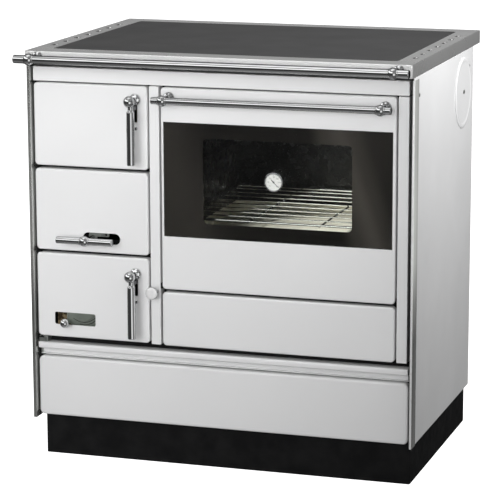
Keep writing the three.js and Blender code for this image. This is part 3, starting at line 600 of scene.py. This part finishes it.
# ------------------------------------------------------------------ hob
B = Build()
top = B.stack(Rect(-400, 400, 0, 600, 4, 8), rounded([(-2.4, H), (0, H), (0, ZF), (-2, ZF), (-2, H - 2.5)], [0, 2.2, 0.7, 0.7, 0], n=5), "xy", -1)
hole = B.stack(Rect(-357.4, 357.4, 46.6, 556.4, 8.4, 8),
               rounded([(1.0, H), (0, H), (0, 840), (-8.4, 840), (-8.4, 838), (2.0, 838), (2.0, H - 2.5)], [0, 0.9, 0, 0.6, 0.6, 0.6, 0], n=4), "xy", 1)
vents = []
for s in (-1, 1):
    for i in range(7):
        q = Rect(s * 378 - 4.6, s * 378 + 4.6, 97.5 + 61.6 * i, 119.5 + 61.6 * i, 4.5, 8)
        # the slot walls inside the vents take black paint as painted shade
        vents.append((B.stack(q, [(2.5, H), (1.6, H - 0.12), (0.8, H - 0.4), (0.15, H - 0.8), (0, H - 1.05)], "xy", 1, limit=60),
                      B.stack(q, [(0, H - 1.05), (0, H - 2.5)], "xy", 1, mat=1)))
B.fill([top[0], hole[0]] + [v[0][0] for v in vents], Z)
B.fill([top[-1], hole[-1]] + [v[1][-1] for v in vents], -Z)
# the front faces take the lighter steel copy as painted light
B.facing(-Y, 2)
B.done("hob_rim", "root", [STEEL, BLACK, STEEL_FACE_PAINTED_LIGHT], "hob_frame")
B = Build()
B.slab(Rect(-357, 357, 47, 556, 8, 8), 840.3, H, "xy", 1.3, n=4)
B.done("cooking_plate", "root", PLATE, "hob_plate")


def bracket(name, body, node, x, z, face, yb, rb, rr):
    """rosette on the face, turned post and the ball that holds the bar"""
    B = Build()
    d = face - yb
    prof = rounded([(0, 0.3), (rr, 0.3), (rr, 2.2), (rr * 0.9, 3.6), (rr * 0.66, 5.6), (5.4, 8.6), (4.9, 11), (4.9, d - rb * 0.7), (0, d - rb * 0.7)],
                   [0, 0.5, 0.9, 2, 5, 4, 2, 0, 0], n=5)
    B.lathe(prof, Vector((x, face, z)), -Y, 44)
    B.ball((x, yb, z), rb)
    for s in (-1, 1):
        B.lathe(rounded([(0, rb * 0.55), (8.9 if rb > 11.5 else 8.1, rb * 0.55), (8.9 if rb > 11.5 else 8.1, rb * 0.9), (0, rb * 0.9)], [0, 0.3, 0.8, 0], n=4),
                Vector((x, yb, z)), X * s, 40)
    return B.done(name, body, CHROME, node)


B = Build()
B.rod((-404, -46, 838), (404, -46, 838), 8.6, 1.8, 48)
B.done("front_rail", "root", CHROME, "towel_rail")
bracket("rail_post_left", "root", "rail_bracket_left", -372, 838, 0, -46, 12, 11)
bracket("rail_post_right", "root", "rail_bracket_right", 372, 838, 0, -46, 12, 11)


# ------------------------------------------------------------------ fixed front
def strip(name, x0, x1, z0, z1, holes=()):
    return pan(name + "_face", "root", x0, x1, z0, z1, 1.8, FACE, 23.7, 1.3, 1.2, holes, 0.4, name)


strip("fascia", -391, 388.4, 787.1, 816.2)
strip("centre_pillar", -143.4, -123.1, 258, 785.2, [Circle(AIR[0], AIR[1], 4.2, 24)])
strip("right_pillar", 367.2, 388.4, 257.2, 785.2)
pan("middle_face", "root", *LEFT, *MID, 8, FACE, 23.7, holes=[stadium(-288.5, -208.4, 470, 22.5)], replaces="middle_panel")

B = Build()
p = [(FACE, 245.3), (43.7, 245.3), (43.7, 217.4), (34, 217.4), (34, 219), (41.7, 219), (41.7, 232), (FACE, 232)]
B.slab(Poly(rounded(p, [4, 0.5, 0.6, 0.5, 0.5, 0.6, 1.5, 4], True, 6)), -391, 391, "yz", 0.8)
B.done("ledge_nose", "root", ENAMEL, "ledge")
B = Build()
for x in (-389.6, 389.6):
    B.slab(Rect(x - 1.2, x + 1.2, 34.2, 43.4, 0.5, 2), 219.4, 231.6, "xy", 0.3)
B.slab(Rect(-391, -372, 24, 43.4, 1.5, 3), 245.8, 257.4, "xy", 0.6)
B.done("ledge_ends", "root", ZINC)

B = Build()
B.slab(Rect(-26, 270, 282, 352, 6, 6), 40.7, 43.7, "xz", 0.9)
B.slab(Rect(104, 140, 314, 320, 2.5, 4), 32, 41.2, "xz", 0.9)
for x in (-18, 262):
    B.screw((x, 40.7, 317), -Y, 4.5, 2.2)
B.done("soot_lid", "root", CAST, "soot_cover")

# ------------------------------------------------------------------ firebox, ash chamber
for n, q in {"firebrick_left": (-372.7, -342.7, 62, 466, 485.3, 800), "firebrick_right": (-183.3, -153.3, 62, 466, 485.3, 786),
             "firebrick_rear": (-372.7, -153.3, 466.4, 496.6, 485.3, 800), "firebrick_front": (-342.3, -183.7, 50, 78, 485.3, 612)}.items():
    B = Build()
    B.slab(Rect(q[0], q[1], q[2], q[3], 2.5, 4), q[4], q[5], "xy", 2.5, n=4)
    B.done(n + "_slab", "root", BRICK, n)
B = Build()
B.slab(Rect(-342.3, -183.7, 84, 460, 4, 4), 485.3, 495, "xy", 1.2,
       [Rect(-330 + i * 23.5, -319 + i * 23.5, 100 + j * 178, 262 + j * 178, 5.4, 6) for i in range(6) for j in range(2)])
B.done("grate_casting", "root", CAST, "grate")
B = Build()
B.slab(Rect(-332, -244, 100, 445, 3, 3), 474.3, 480.8, "xy", 0.8,
       [Rect(-324 + i * 27, -312 + i * 27, a, b, 5.5, 6) for i in range(3) for a, b in ((112, 262), (280, 432))])
B.done("slider_casting", "riddling", CAST, "grate_slider")


def tray(B, x0, x1, y0, y1, r, z0, z1, t, R):
    """open box pressed from one sheet"""
    p = rounded([(-R - 0.5, z0), (0, z0), (0, z1), (-t, z1), (-t, z0 + t), (-R - 0.5, z0 + t)], [0, R, t * 0.45, t * 0.45, max(R - t, 0.4), 0], n=5)
    r_ = B.stack(Rect(x0, x1, y0, y1, r, 6), p, "xy")
    B.fill([r_[0]], -Z)
    B.fill([r_[-1]], Z)


B = Build()
tray(B, -352, -172, 62, 440, 5, 265.3, 332, 2, 3)
B.tube([(-280, 61.6, 318), (-280, 59.4, 318), (-278, 58.9, 317), (-262, 58.9, 316.6), (-246, 58.9, 317), (-244, 59.4, 318), (-244, 61.6, 318)], 0.9, n=10)
B.done("ash_drawer", "root", ZINC, "ash_pan")

# ------------------------------------------------------------------ oven inside
B = Build()
x0, x1, y0, y1, z = -98.6 + 2.6, 343.6 - 2.6, 66.6, 449.4, 514
loop = Rect(x0, x1, y0, y1, 12, 6)
B.tube([(a, b, z) for a, b in loop.pts(0)], 2.6, True, 12)
for i in range(1, 9):
    y = 64 + i * 388 / 9
    B.tube([(x0 - 0.5, y, z + 0.8), (x0 + 3, y, z + 1.2), (x1 - 3, y, z + 1.2), (x1 + 0.5, y, z + 0.8)], 1.6, n=10)
for x in (48, 197):
    B.tube([(x, y0, z - 2.2), (x, y1, z - 2.2)], 1.9, n=10)
B.done("wire_rack", "root", CHROME, "oven_rack")
B = Build()
tray(B, -97.5, 342.5, 64, 452, 16, 460.4, 482, 1.3, 5)
B.done("roasting_tray", "root", TRAY_M, "baking_tray")

# ------------------------------------------------------------------ flue collar, drawer
B = Build()
prof = rounded([(58, 505.3), (72, 505.3), (72, 507.5), (60, 507.5), (60, 592), (58, 592)], [0.4, 0.6, 0.6, 2.0, 0.7, 0.7], True, 4)
B.lathe(prof, Vector((130, 0, 742)), Y, 72, closed=True)
B.done("collar_tube", "root", BLACK, "flue_collar")

pan("drawer_face", "drawer", -392, 392, 90.5, 215.6, 11, FACE + 2, PAN, 5.0, replaces="drawer_front")
B = Build()
tray(B, -358, 358, 40.4, 500, 5, 104, 200, 1.6, 3)
for s in (-1, 1):
    a, b = sorted((s * 357.2, s * 371))
    B.slab(Rect(a, b, 147, 153, 1.2, 3), 52, 498, "xz", 0.5)
B.done("drawer_tub", "drawer", ZINC, "drawer_box")

# ------------------------------------------------------------------ left doors
def lever_holes(l):
    return [Rect(l[0] - 3.6, l[0] + 3.6, l[1] - 46, l[1] + 1, 2.0, 4)]


pan("fire_door_face", "fire_door", *LEFT, *FIRE, 8, holes=lever_holes(FIRE_LEVER), replaces="fire_door_panel")
WINDOW_AIR = Rect(-353.5, -264.7, 285.4, 311, 3.6, 6)
pan("ash_door_face", "ash_door", *LEFT, *ASH, 8, holes=lever_holes(ASH_LEVER) + [WINDOW_AIR], replaces="ash_door_panel")
for n, l in (("fire", FIRE_LEVER), ("ash", ASH_LEVER)):
    B = Build()
    prof = rounded([(0, 0.3), (12, 0.3), (12, 1.6), (11.2, 3.4), (8.6, 5.6), (5.0, 7.0), (4.3, 9), (4.3, 28), (0, 28)], [0, 0.5, 0.8, 2.5, 3, 2, 1, 0.6, 0], n=5)
    B.lathe(prof, Vector((l[0], FACE, l[1])), -Y, 44)
    B.done(n + "_lever_rosette", n + "_door", CHROME, n + "_lever_post")
    B = Build()
    B.screw((l[0], FACE, l[1] - 58), -Y, 4.0, 2.0)
    B.done(n + "_door_screw", n + "_door", CHROME)
    B = Build()
    c = Vector((l[0], LEVER_Y, l[1]))
    B.ball(c, 11.6)
    prof = rounded([(0, 8), (5.2, 8), (4.7, 12), (5.0, 16.5), (7.2, 19.4), (8.2, 20.4), (8.2, 127), (0, 127)], [0, 1, 3, 3, 1, 1.4, 1.3, 0], n=5)
    B.lathe(prof, c + X * 2.5, -Z, 40)
    q = rounded([(LEVER_Y - 1.5, l[1] - 9.5), (LEVER_Y - 1.5, l[1] - 20), (53.5, l[1] - 20), (53.5, l[1] - 12.6), (FACE + 1, l[1] - 12.6), (FACE - 5.5, l[1] - 12.4), (LEVER_Y + 6, l[1] - 9.5)], [0.5, 1.5, 1.5, 1.5, 3, 3, 3], True, 4)
    B.slab(Poly(q), l[0] - 2.6, l[0] + 2.6, "yz", 0.5)
    B.done(n + "_lever_bar", n + "_lever", CHROME, n + "_lever")

# air shutter, its backing plate and the screw in the window's corner
B = Build()
edge = [(-328, 318), (-328, 288), (-316, 288)]
for i in range(15):
    t = math.radians(-90 + 60 * i / 14)
    edge.append((-316 + 66 * math.cos(t), 288 + 66 * (1 + math.sin(t))))
edge = [q for q in edge if q[0] < -262] + [(-262, 311.2), (-238, 311.2), (-238, 318)]
B.slab(Poly(edge), 22.5, 24.1, "xz", 0.35)
B.lathe(rounded([(0, 0), (2.6, 0), (2.6, 17), (0, 17)], [0, 0, 0, 0]), Vector((SHUT[0], 22.6, SHUT[1])), -Y, 24)
B.lathe(rounded([(0, 12.6), (4.6, 12.6), (4.6, 15.4), (0, 15.4)], [0, 0.6, 0.6, 0]), Vector((SHUT[0], 22.6, SHUT[1])), -Y, 32, 1)
B.ball((SHUT[0], -1, SHUT[1]), 9.2, mat=1)
# wire spring lying on the plate, and the plate's lighter folded edge
for q in ([(-314.2, 300.1), (-309, 296.8), (-303.3, 294.3), (-297, 292.7), (-290.2, 292.2), (-283, 293.2), (-277, 295.6), (-270.5, 299.2), (-264.9, 303.5)],
          [(-300, 288.0), (-291, 287.0), (-281, 288.6), (-272, 292.4), (-265.5, 297.6)]):
    B.tube([(a, 22.75, b) for a, b in q], 0.6, n=8, mat=2)
B.tube([(-326.6, 22.7, 289), (-325.6, 22.7, 300), (-323.0, 22.7, 310)], 0.65, n=8, mat=1)
B.done("shutter_slide", "air_shutter", [SHUTTER_M, CHROME, CAST], "air_shutter")
B = Build()
B.slab(Rect(-318, -258, 279, 317, 3, 4), 26.4, 27.6, "xz", 0.4)
B.screw((-271, 26.4, 291), -Y, 4.2, 1.6)
B.slab(Rect(-351, -322, 283, 313, 1.5, 3), 30.0, 31.2, "xz", 0.3, mat=1)
B.done("shutter_backing", "ash_door", [SHUTTER_M, RUST])

# riddling handle with its stem and the link seen in the slot
B = Build()
c = Vector(RIDDLE)
for s in (-1, 1):
    prof = rounded([(0, 6), (7.2, 6), (7.2, 60), (0, 60)], [0, 0.5, 1.4, 0], n=5)
    B.lathe(prof, c, X * s, 40)
    B.lathe(rounded([(0, 8.4), (7.9, 8.4), (7.9, 11), (0, 11)], [0, 0.6, 0.6, 0], n=3), c, X * s, 40)
B.ball(c, 10.5)
B.lathe(rounded([(0, 6), (5.6, 6), (5.0, 12), (4.0, 15), (4.0, 445), (0, 445)], [0, 1, 2, 2, 1, 0], n=4), c, Y, 28)
B.done("riddling_tee", "riddling", CHROME, "riddling_handle")
B = Build()
B.slab(Rect(-268, -236, 471.5, 479.5, 2, 3), 31, 33, "xz", 0.4, [Circle(-243, 475.5, 2.2, 16)])
B.slab(Rect(-281, -263, 461, 479, 4, 4), 33.2, 35.2, "xz", 0.4)
B.done("riddling_link", "riddling", ZINC)

# air pull
B = Build()
prof = rounded([(0, 0.6), (7.5, 0.1), (10.8, 0.9), (12.6, 2.6), (13, 5), (12.4, 8.2), (9.6, 11.6), (6.6, 14.6), (6.0, 18), (6.2, 23.2), (7.6, 26.6), (0, 26.6)],
               [0, 6, 2.5, 2, 2.5, 3, 4, 4, 3, 2, 0.5, 0], n=5)
k = next(i for i, q in enumerate(prof) if q[0] > 11.6)
# the knob's front disc takes the pale satin as a painted reflection
B.lathe(prof[:k + 1], Vector((AIR[0], -7, AIR[1])), Y, 48, 1)
B.lathe(prof[k:], Vector((AIR[0], -7, AIR[1])), Y, 48)
B.done("pull_knob", "air_pull", [CHROME, SATIN_PAINTED_REFLECTION], "air_pull_knob")

# ------------------------------------------------------------------ oven door
pan("oven_door_face", "oven_door", OVEN[0], OVEN[1], OVEN[2], OVEN[3], 8, holes=[Rect(GLS[0], GLS[1], GLS[2], GLS[3], 1.2, 4)], hb=0.4, R=4.0, replaces="oven_door_shell")
B = Build()
B.slab(Rect(GLS[0] + 0.4, GLS[1] - 0.4, GLS[2] + 0.4, GLS[3] - 0.4, 1.2, 3), 20.4, 24.4, "xz", 0.4, [Circle(*THERMO, 3.9, 24)])
B.done("outer_glass", "oven_door", GLASS, "oven_door_glass")
B = Build()
B.slab(Rect(-116.6, 360.3, 474, 724, 3, 3), 25.0, 26.4, "xz", 0.2, [Rect(*WIN, 9, 10)])
B.done("window_print", "oven_door", PRINT_AND_PAINTED_REFLECTION, "oven_door_mask")
B = Build()
B.slab(Rect(-106, 350, 388, 776, 8, 6), 38.3, 42.3, "xz", 1.0, [Rect(WIN[0] - 4, WIN[1] + 4, WIN[2] - 4, WIN[3] + 4, 12, 8)])
for x in (-84, 122, 328):
    for z in (402, 762):
        B.screw((x, 42.3, z), Y, 4, 2)
B.done("door_back_plate", "oven_door", DARK, "oven_door_liner")
B = Build()
B.slab(Rect(WIN[0] - 18, WIN[1] + 18, WIN[2] - 18, WIN[3] + 18, 4, 4), 33.6, 37.6, "xz", 0.5, [Circle(*THERMO, 3.9, 24)])
B.done("inner_glass", "oven_door", GLASS, "oven_inner_glass")
B = Build()
B.rod((120 - 243.5, -22, 763), (120 + 243.5, -22, 763), 7.2, 1.6, 44)
B.done("door_bar", "oven_door", CHROME, "oven_handle")
bracket("door_post_left", "oven_door", "oven_handle_bracket_left", 120 - 221.5, 763, FACE, -22, 11, 12)
bracket("door_post_right", "oven_door", "oven_handle_bracket_right", 120 + 221.5, 763, FACE, -22, 11, 12)

# thermometer: chrome case, white dial with plain numbers, needle and lens
c = Vector((THERMO[0], 0, THERMO[1]))
B = Build()
prof = rounded([(0, 13.4), (16.5, 13.4), (16.5, 10.6), (17.0, 9.3), (18.6, 9.0), (19.5, 10.4), (19.5, 17.6), (18.2, 20.3), (3.5, 20.3), (3.5, 50), (0, 50)],
               [0, 0.1, 0.5, 0.5, 0.8, 0.8, 1.2, 1.0, 0.3, 0.6, 0], n=4)
B.lathe(prof, c, Y, 64)
B.done("dial_case", "oven_door", CHROME, "thermometer_case")
B = Build()
B.lathe(rounded([(0, 12.5), (16.4, 12.5), (16.4, 13.3), (0, 13.3)], [0, 0.2, 0.1, 0], n=3), c, Y, 56)
B.done("dial_face", "oven_door", DIAL)
B = Build()
for i in range(31):
    t = math.radians(-135 + 270 * i / 30)
    major = i % 5 == 0
    d = X * math.sin(t) + Z * math.cos(t)
    q = X * math.cos(t) - Z * math.sin(t)
    a, b, w = (13.2 if major else 14.2), 15.4, (0.26 if major else 0.13)
    r = B.ring([c + Y * 12.42 + d * a - q * w, c + Y * 12.42 + d * a + q * w, c + Y * 12.42 + d * b + q * w, c + Y * 12.42 + d * b - q * w])
    B.face(r, [-Y] * 4)
segs = {"0": "abcdef", "1": "bc", "2": "abged", "3": "abgcd", "5": "afgcd"}
geo = {"a": (0, 2, 1, 2), "b": (1, 1, 1, 2), "c": (1, 0, 1, 1), "d": (0, 0, 1, 0), "e": (0, 0, 0, 1), "f": (0, 1, 0, 2), "g": (0, 1, 1, 1)}
for i, text in enumerate(("0", "50", "100", "150", "200", "250", "300")):
    t = math.radians(-135 + 45 * i)
    mid = c + (X * math.sin(t) + Z * math.cos(t)) * 10.6 + Y * 12.42
    for j, ch in enumerate(text):
        base = mid + X * ((j - (len(text) - 1) / 2) * 1.75 - 0.55) - Z * 1.0
        for g in segs[ch]:
            u0, v0, u1, v1 = geo[g]
            a, b = base + X * (u0 * 1.1) + Z * (v0 * 1.0), base + X * (u1 * 1.1) + Z * (v1 * 1.0)
            w = 0.14
            lo, hi = Vector((min(a.x, b.x) - w, a.y, min(a.z, b.z) - w)), Vector((max(a.x, b.x) + w, a.y, max(a.z, b.z) + w))
            off = Y * (0.004 * (ord(g) - 96))
            r = B.ring([Vector((lo.x, lo.y, lo.z)) + off, Vector((hi.x, lo.y, lo.z)) + off, Vector((hi.x, lo.y, hi.z)) + off, Vector((lo.x, lo.y, hi.z)) + off])
            B.face(r, [-Y] * 4)
B.done("dial_marks", "oven_door", INK)
B = Build()
q = [(-5.6, 4.1), (-4.1, 5.6), (1.2, -0.4), (10.6, -9.9), (10.1, -10.4), (0.4, -1.2)]
B.slab(Poly([(THERMO[0] + a, THERMO[1] + b) for a, b in q]), 11.2, 11.6, "xz", 0.1)
B.lathe(rounded([(0, 11.0), (1.9, 11.0), (1.9, 12.1), (0, 12.1)], [0, 0.3, 0.1, 0], n=3), c, Y, 28)
B.done("dial_needle", "thermometer_needle", INK, "thermometer_needle")
B = Build()
lens = [(0, 9.55)] + [(16.3 * math.sin(math.radians(a)) / math.sin(math.radians(60)), 9.55 + 0.55 * (1 - math.cos(math.radians(a))) / (1 - math.cos(math.radians(60)))) for a in (12, 24, 36, 48, 60)] + [(16.3, 10.5), (0, 10.5)]
B.lathe(lens, c, Y, 56)
B.done("dial_lens", "oven_door", GLASS)

# ------------------------------------------------------------------ panel under the oven door
pan("lower_face", "lower_cover", OVEN[0], OVEN[1], 256.9, 368.0, 8, replaces="lower_cover")

# ------------------------------------------------------------------ carried-over CAD pieces
for n, m in {"base_plate": ZINC, "front_frame": BLACK, "firebox_shell": CAST, "oven_liner": DARK, "smoke_jacket": CAST,
             "runner_left": ZINC, "runner_right": ZINC, "fire_door_inner": CAST, "ash_door_inner": CAST, "air_pull_rod": ZINC}.items():
    o = frame["nodes"][n]
    o.data.materials.clear()
    o.data.materials.append(m)

# ------------------------------------------------------------------ floor, light, camera
fm = bpy.data.materials.new("floor")
fm.use_nodes = True
fn = fm.node_tree
fp = fn.nodes["Principled BSDF"]
ft = fn.nodes.new("ShaderNodeTexNoise")
ft.inputs["Scale"].default_value = 3.0
fc = fn.nodes.new("ShaderNodeValToRGB")
fc.color_ramp.elements[0].color = (0.84, 0.84, 0.84, 1)
fc.color_ramp.elements[1].color = (0.88, 0.88, 0.88, 1)
fn.links.new(ft.outputs["Fac"], fc.inputs["Fac"])
fn.links.new(fc.outputs["Color"], fp.inputs["Base Color"])
fp.inputs["Roughness"].default_value = 0.9
fp.inputs["Specular IOR Level"].default_value = 0.0
fp.inputs["Emission Color"].default_value = (1, 1, 1, 1)
fp.inputs["Emission Strength"].default_value = 1.1
fmesh = bpy.data.meshes.new("floor")
fmesh.from_pydata([(-60, -60, 0), (60, -60, 0), (60, 60, 0), (-60, 60, 0)], [], [(0, 1, 2, 3)])
fmesh.materials.append(fm)
floor = bpy.data.objects.new("floor", fmesh)
bpy.context.scene.collection.objects.link(floor)
floor.visible_diffuse = False
floor.visible_glossy = False
floor.visible_transmission = False
floor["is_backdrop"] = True

world = bpy.data.worlds.new("studio")
bpy.context.scene.world = world
world.use_nodes = True
wn = world.node_tree
for n in list(wn.nodes):
    wn.nodes.remove(n)
wo = wn.nodes.new("ShaderNodeOutputWorld")
tc = wn.nodes.new("ShaderNodeTexCoord")
sx = wn.nodes.new("ShaderNodeSeparateXYZ")
wn.links.new(tc.outputs["Generated"], sx.inputs["Vector"])


def wmath(op, a, b=None):
    n = wn.nodes.new("ShaderNodeMath")
    n.operation = op
    for i, q in enumerate((a, b)):
        if q is None:
            continue
        if isinstance(q, (int, float)):
            n.inputs[i].default_value = q
        else:
            wn.links.new(q, n.inputs[i])
    return n.outputs[0]


def wramp(fac, stops, interp="LINEAR"):
    r = wn.nodes.new("ShaderNodeValToRGB")
    e = r.color_ramp.elements
    r.color_ramp.interpolation = interp
    while len(e) < len(stops):
        e.new(0.5)
    for i, (pos, v) in enumerate(stops):
        e[i].position = pos
        e[i].color = (v, v, v * 1.0, 1) if not isinstance(v, tuple) else (*v, 1)
    wn.links.new(fac, r.inputs["Fac"])
    return r.outputs["Color"]


elev = wmath("MULTIPLY_ADD", sx.outputs["Z"], 0.5)          # sine of elevation to 0..1
elev.node.inputs[2].default_value = 0.5
azim = wmath("ARCTAN2", sx.outputs["X"], wmath("MULTIPLY", sx.outputs["Y"], -1.0))   # 0 towards the front, + to the right
azim = wmath("MULTIPLY_ADD", azim, 1 / (2 * math.pi))
azim.node.inputs[2].default_value = 0.5


def deg(a):
    return 0.5 + a / 360.0


def el(a):
    return 0.5 + 0.5 * math.sin(math.radians(a))


# what shiny pieces mirror: bright ceiling, softbox band, dark band at eye level, floor tone below, varied around the room
level = wramp(elev, [(0.0, 0.30), (el(-62), 0.16), (el(-40), 0.12), (el(-5), 0.10), (el(14), 0.07), (el(19), 1.3), (el(35), 1.3), (el(41), 0.22), (el(54), 0.22), (el(63), 1.1), (1.0, 1.0)])
dim = wramp(elev, [(0.0, 0.12), (el(-62), 0.10), (el(-40), 0.08), (el(10), 0.06), (el(22), 0.10), (el(34), 0.32), (el(48), 0.14), (el(66), 0.30), (el(80), 1.0), (1.0, 1.0)])
aside = wramp(azim, [(0.0, 1.0), (deg(-112), 1.0), (deg(-86), 0.0), (deg(-4), 0.0), (deg(10), 1.0), (1.0, 1.0)])
around = wramp(azim, [(0.0, 0.70), (deg(-140), 0.65), (deg(-108), 0.05), (deg(8), 0.035), (deg(22), 0.90), (deg(42), 0.90), (deg(52), 0.18), (deg(112), 0.18), (deg(140), 0.16), (1.0, 0.16)])
band = wramp(elev, [(el(-34), 0.0), (el(-22), 1.0), (el(6), 1.0), (el(14), 0.0)])
mixg = wn.nodes.new("ShaderNodeMix")
mixg.data_type = "RGBA"
wn.links.new(band, mixg.inputs["Factor"])
mixl = wn.nodes.new("ShaderNodeMix")
mixl.data_type = "RGBA"
wn.links.new(aside, mixl.inputs["Factor"])
wn.links.new(level, mixl.inputs[6])
wn.links.new(dim, mixl.inputs[7])
wn.links.new(mixl.outputs[2], mixg.inputs[6])
wn.links.new(around, mixg.inputs[7])
soft = wramp(elev, [(0.0, 0.27), (el(-10), 0.28), (el(10), 0.33), (1.0, 0.36)])
lp = wn.nodes.new("ShaderNodeLightPath")
mixd = wn.nodes.new("ShaderNodeMix")
mixd.data_type = "RGBA"
wn.links.new(wmath("MAXIMUM", lp.outputs["Is Glossy Ray"], lp.outputs["Is Transmission Ray"]), mixd.inputs["Factor"])
wn.links.new(soft, mixd.inputs[6])
wn.links.new(mixg.outputs[2], mixd.inputs[7])
mixc = wn.nodes.new("ShaderNodeMix")
mixc.data_type = "RGBA"
wn.links.new(lp.outputs["Is Camera Ray"], mixc.inputs["Factor"])
wn.links.new(mixd.outputs[2], mixc.inputs[6])
mixc.inputs[7].default_value = (1, 1, 1, 1)
bg = wn.nodes.new("ShaderNodeBackground")
wn.links.new(mixc.outputs[2], bg.inputs["Color"])
bg.inputs["Strength"].default_value = 1.0
wn.links.new(bg.outputs[0], wo.inputs["Surface"])


def spot(name, loc, target, angle, power, radius):
    d = bpy.data.lights.new(name, "SPOT")
    d.energy = power
    d.spot_size = math.radians(angle)
    d.spot_blend = 1.0
    d.shadow_soft_size = radius
    o = bpy.data.objects.new(name, d)
    bpy.context.scene.collection.objects.link(o)
    o.location = loc
    o.rotation_mode = "QUATERNION"
    o.rotation_quaternion = (Vector(target) - Vector(loc)).to_track_quat("-Z", "Y")
    o.visible_glossy = False
    return o


spot("key", (-0.3, -3.2, 1.3), (-0.56, -0.25, 1.02), 60, 300, 1.1)
spot("left", (-0.8, -3.1, 1.2), (-0.74, -0.25, 0.38), 38, 130, 0.8)
spot("right", (0.9, -3.0, 1.4), (0.28, -0.25, 1.09), 24, 160, 0.6)
spot("side", (1.5, -0.3, 1.9), (0.4, 0.0, 1.12), 57, 186, 0.35)
lamp = bpy.data.lights.new("oven_lamp", "SPOT")
lamp.spot_size, lamp.spot_blend, lamp.shadow_soft_size = math.radians(84), 0.35, 0.012
lamp.energy = 7.5
lo_ = bpy.data.objects.new("oven_lamp", lamp)
bpy.context.scene.collection.objects.link(lo_)
lo_.location = (0.19, -0.03, 0.725)
lo_.visible_camera = False
lo_.visible_glossy = False
for n in ("outer_glass", "dial_lens"):
    bpy.data.objects[n].visible_shadow = False

yaw, pitch, roll = 0.307883, 0.207289, -0.002561
fw = Vector((-math.sin(yaw) * math.cos(pitch), math.cos(yaw) * math.cos(pitch), -math.sin(pitch)))
rt = Vector((math.cos(yaw), math.sin(yaw), 0))
up = rt.cross(fw)
r2 = rt * math.cos(roll) + up * math.sin(roll)
u2 = up * math.cos(roll) - rt * math.sin(roll)
cd = bpy.data.cameras.new("camera")
cd.sensor_fit = "HORIZONTAL"
cd.sensor_width = 36.0
cd.lens = 2397.3051 / 500 * 36.0
cd.clip_start, cd.clip_end = 0.05, 200
cam = bpy.data.objects.new("camera", cd)
bpy.context.scene.collection.objects.link(cam)
cam.matrix_world = Matrix(((r2.x, u2.x, -fw.x, 1.477664), (r2.y, u2.y, -fw.y, -4.688334), (r2.z, u2.z, -fw.z, 1.445183), (0, 0, 0, 1)))
bpy.context.scene.camera = cam
bpy.context.scene.view_settings.view_transform = "Standard"

lo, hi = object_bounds()
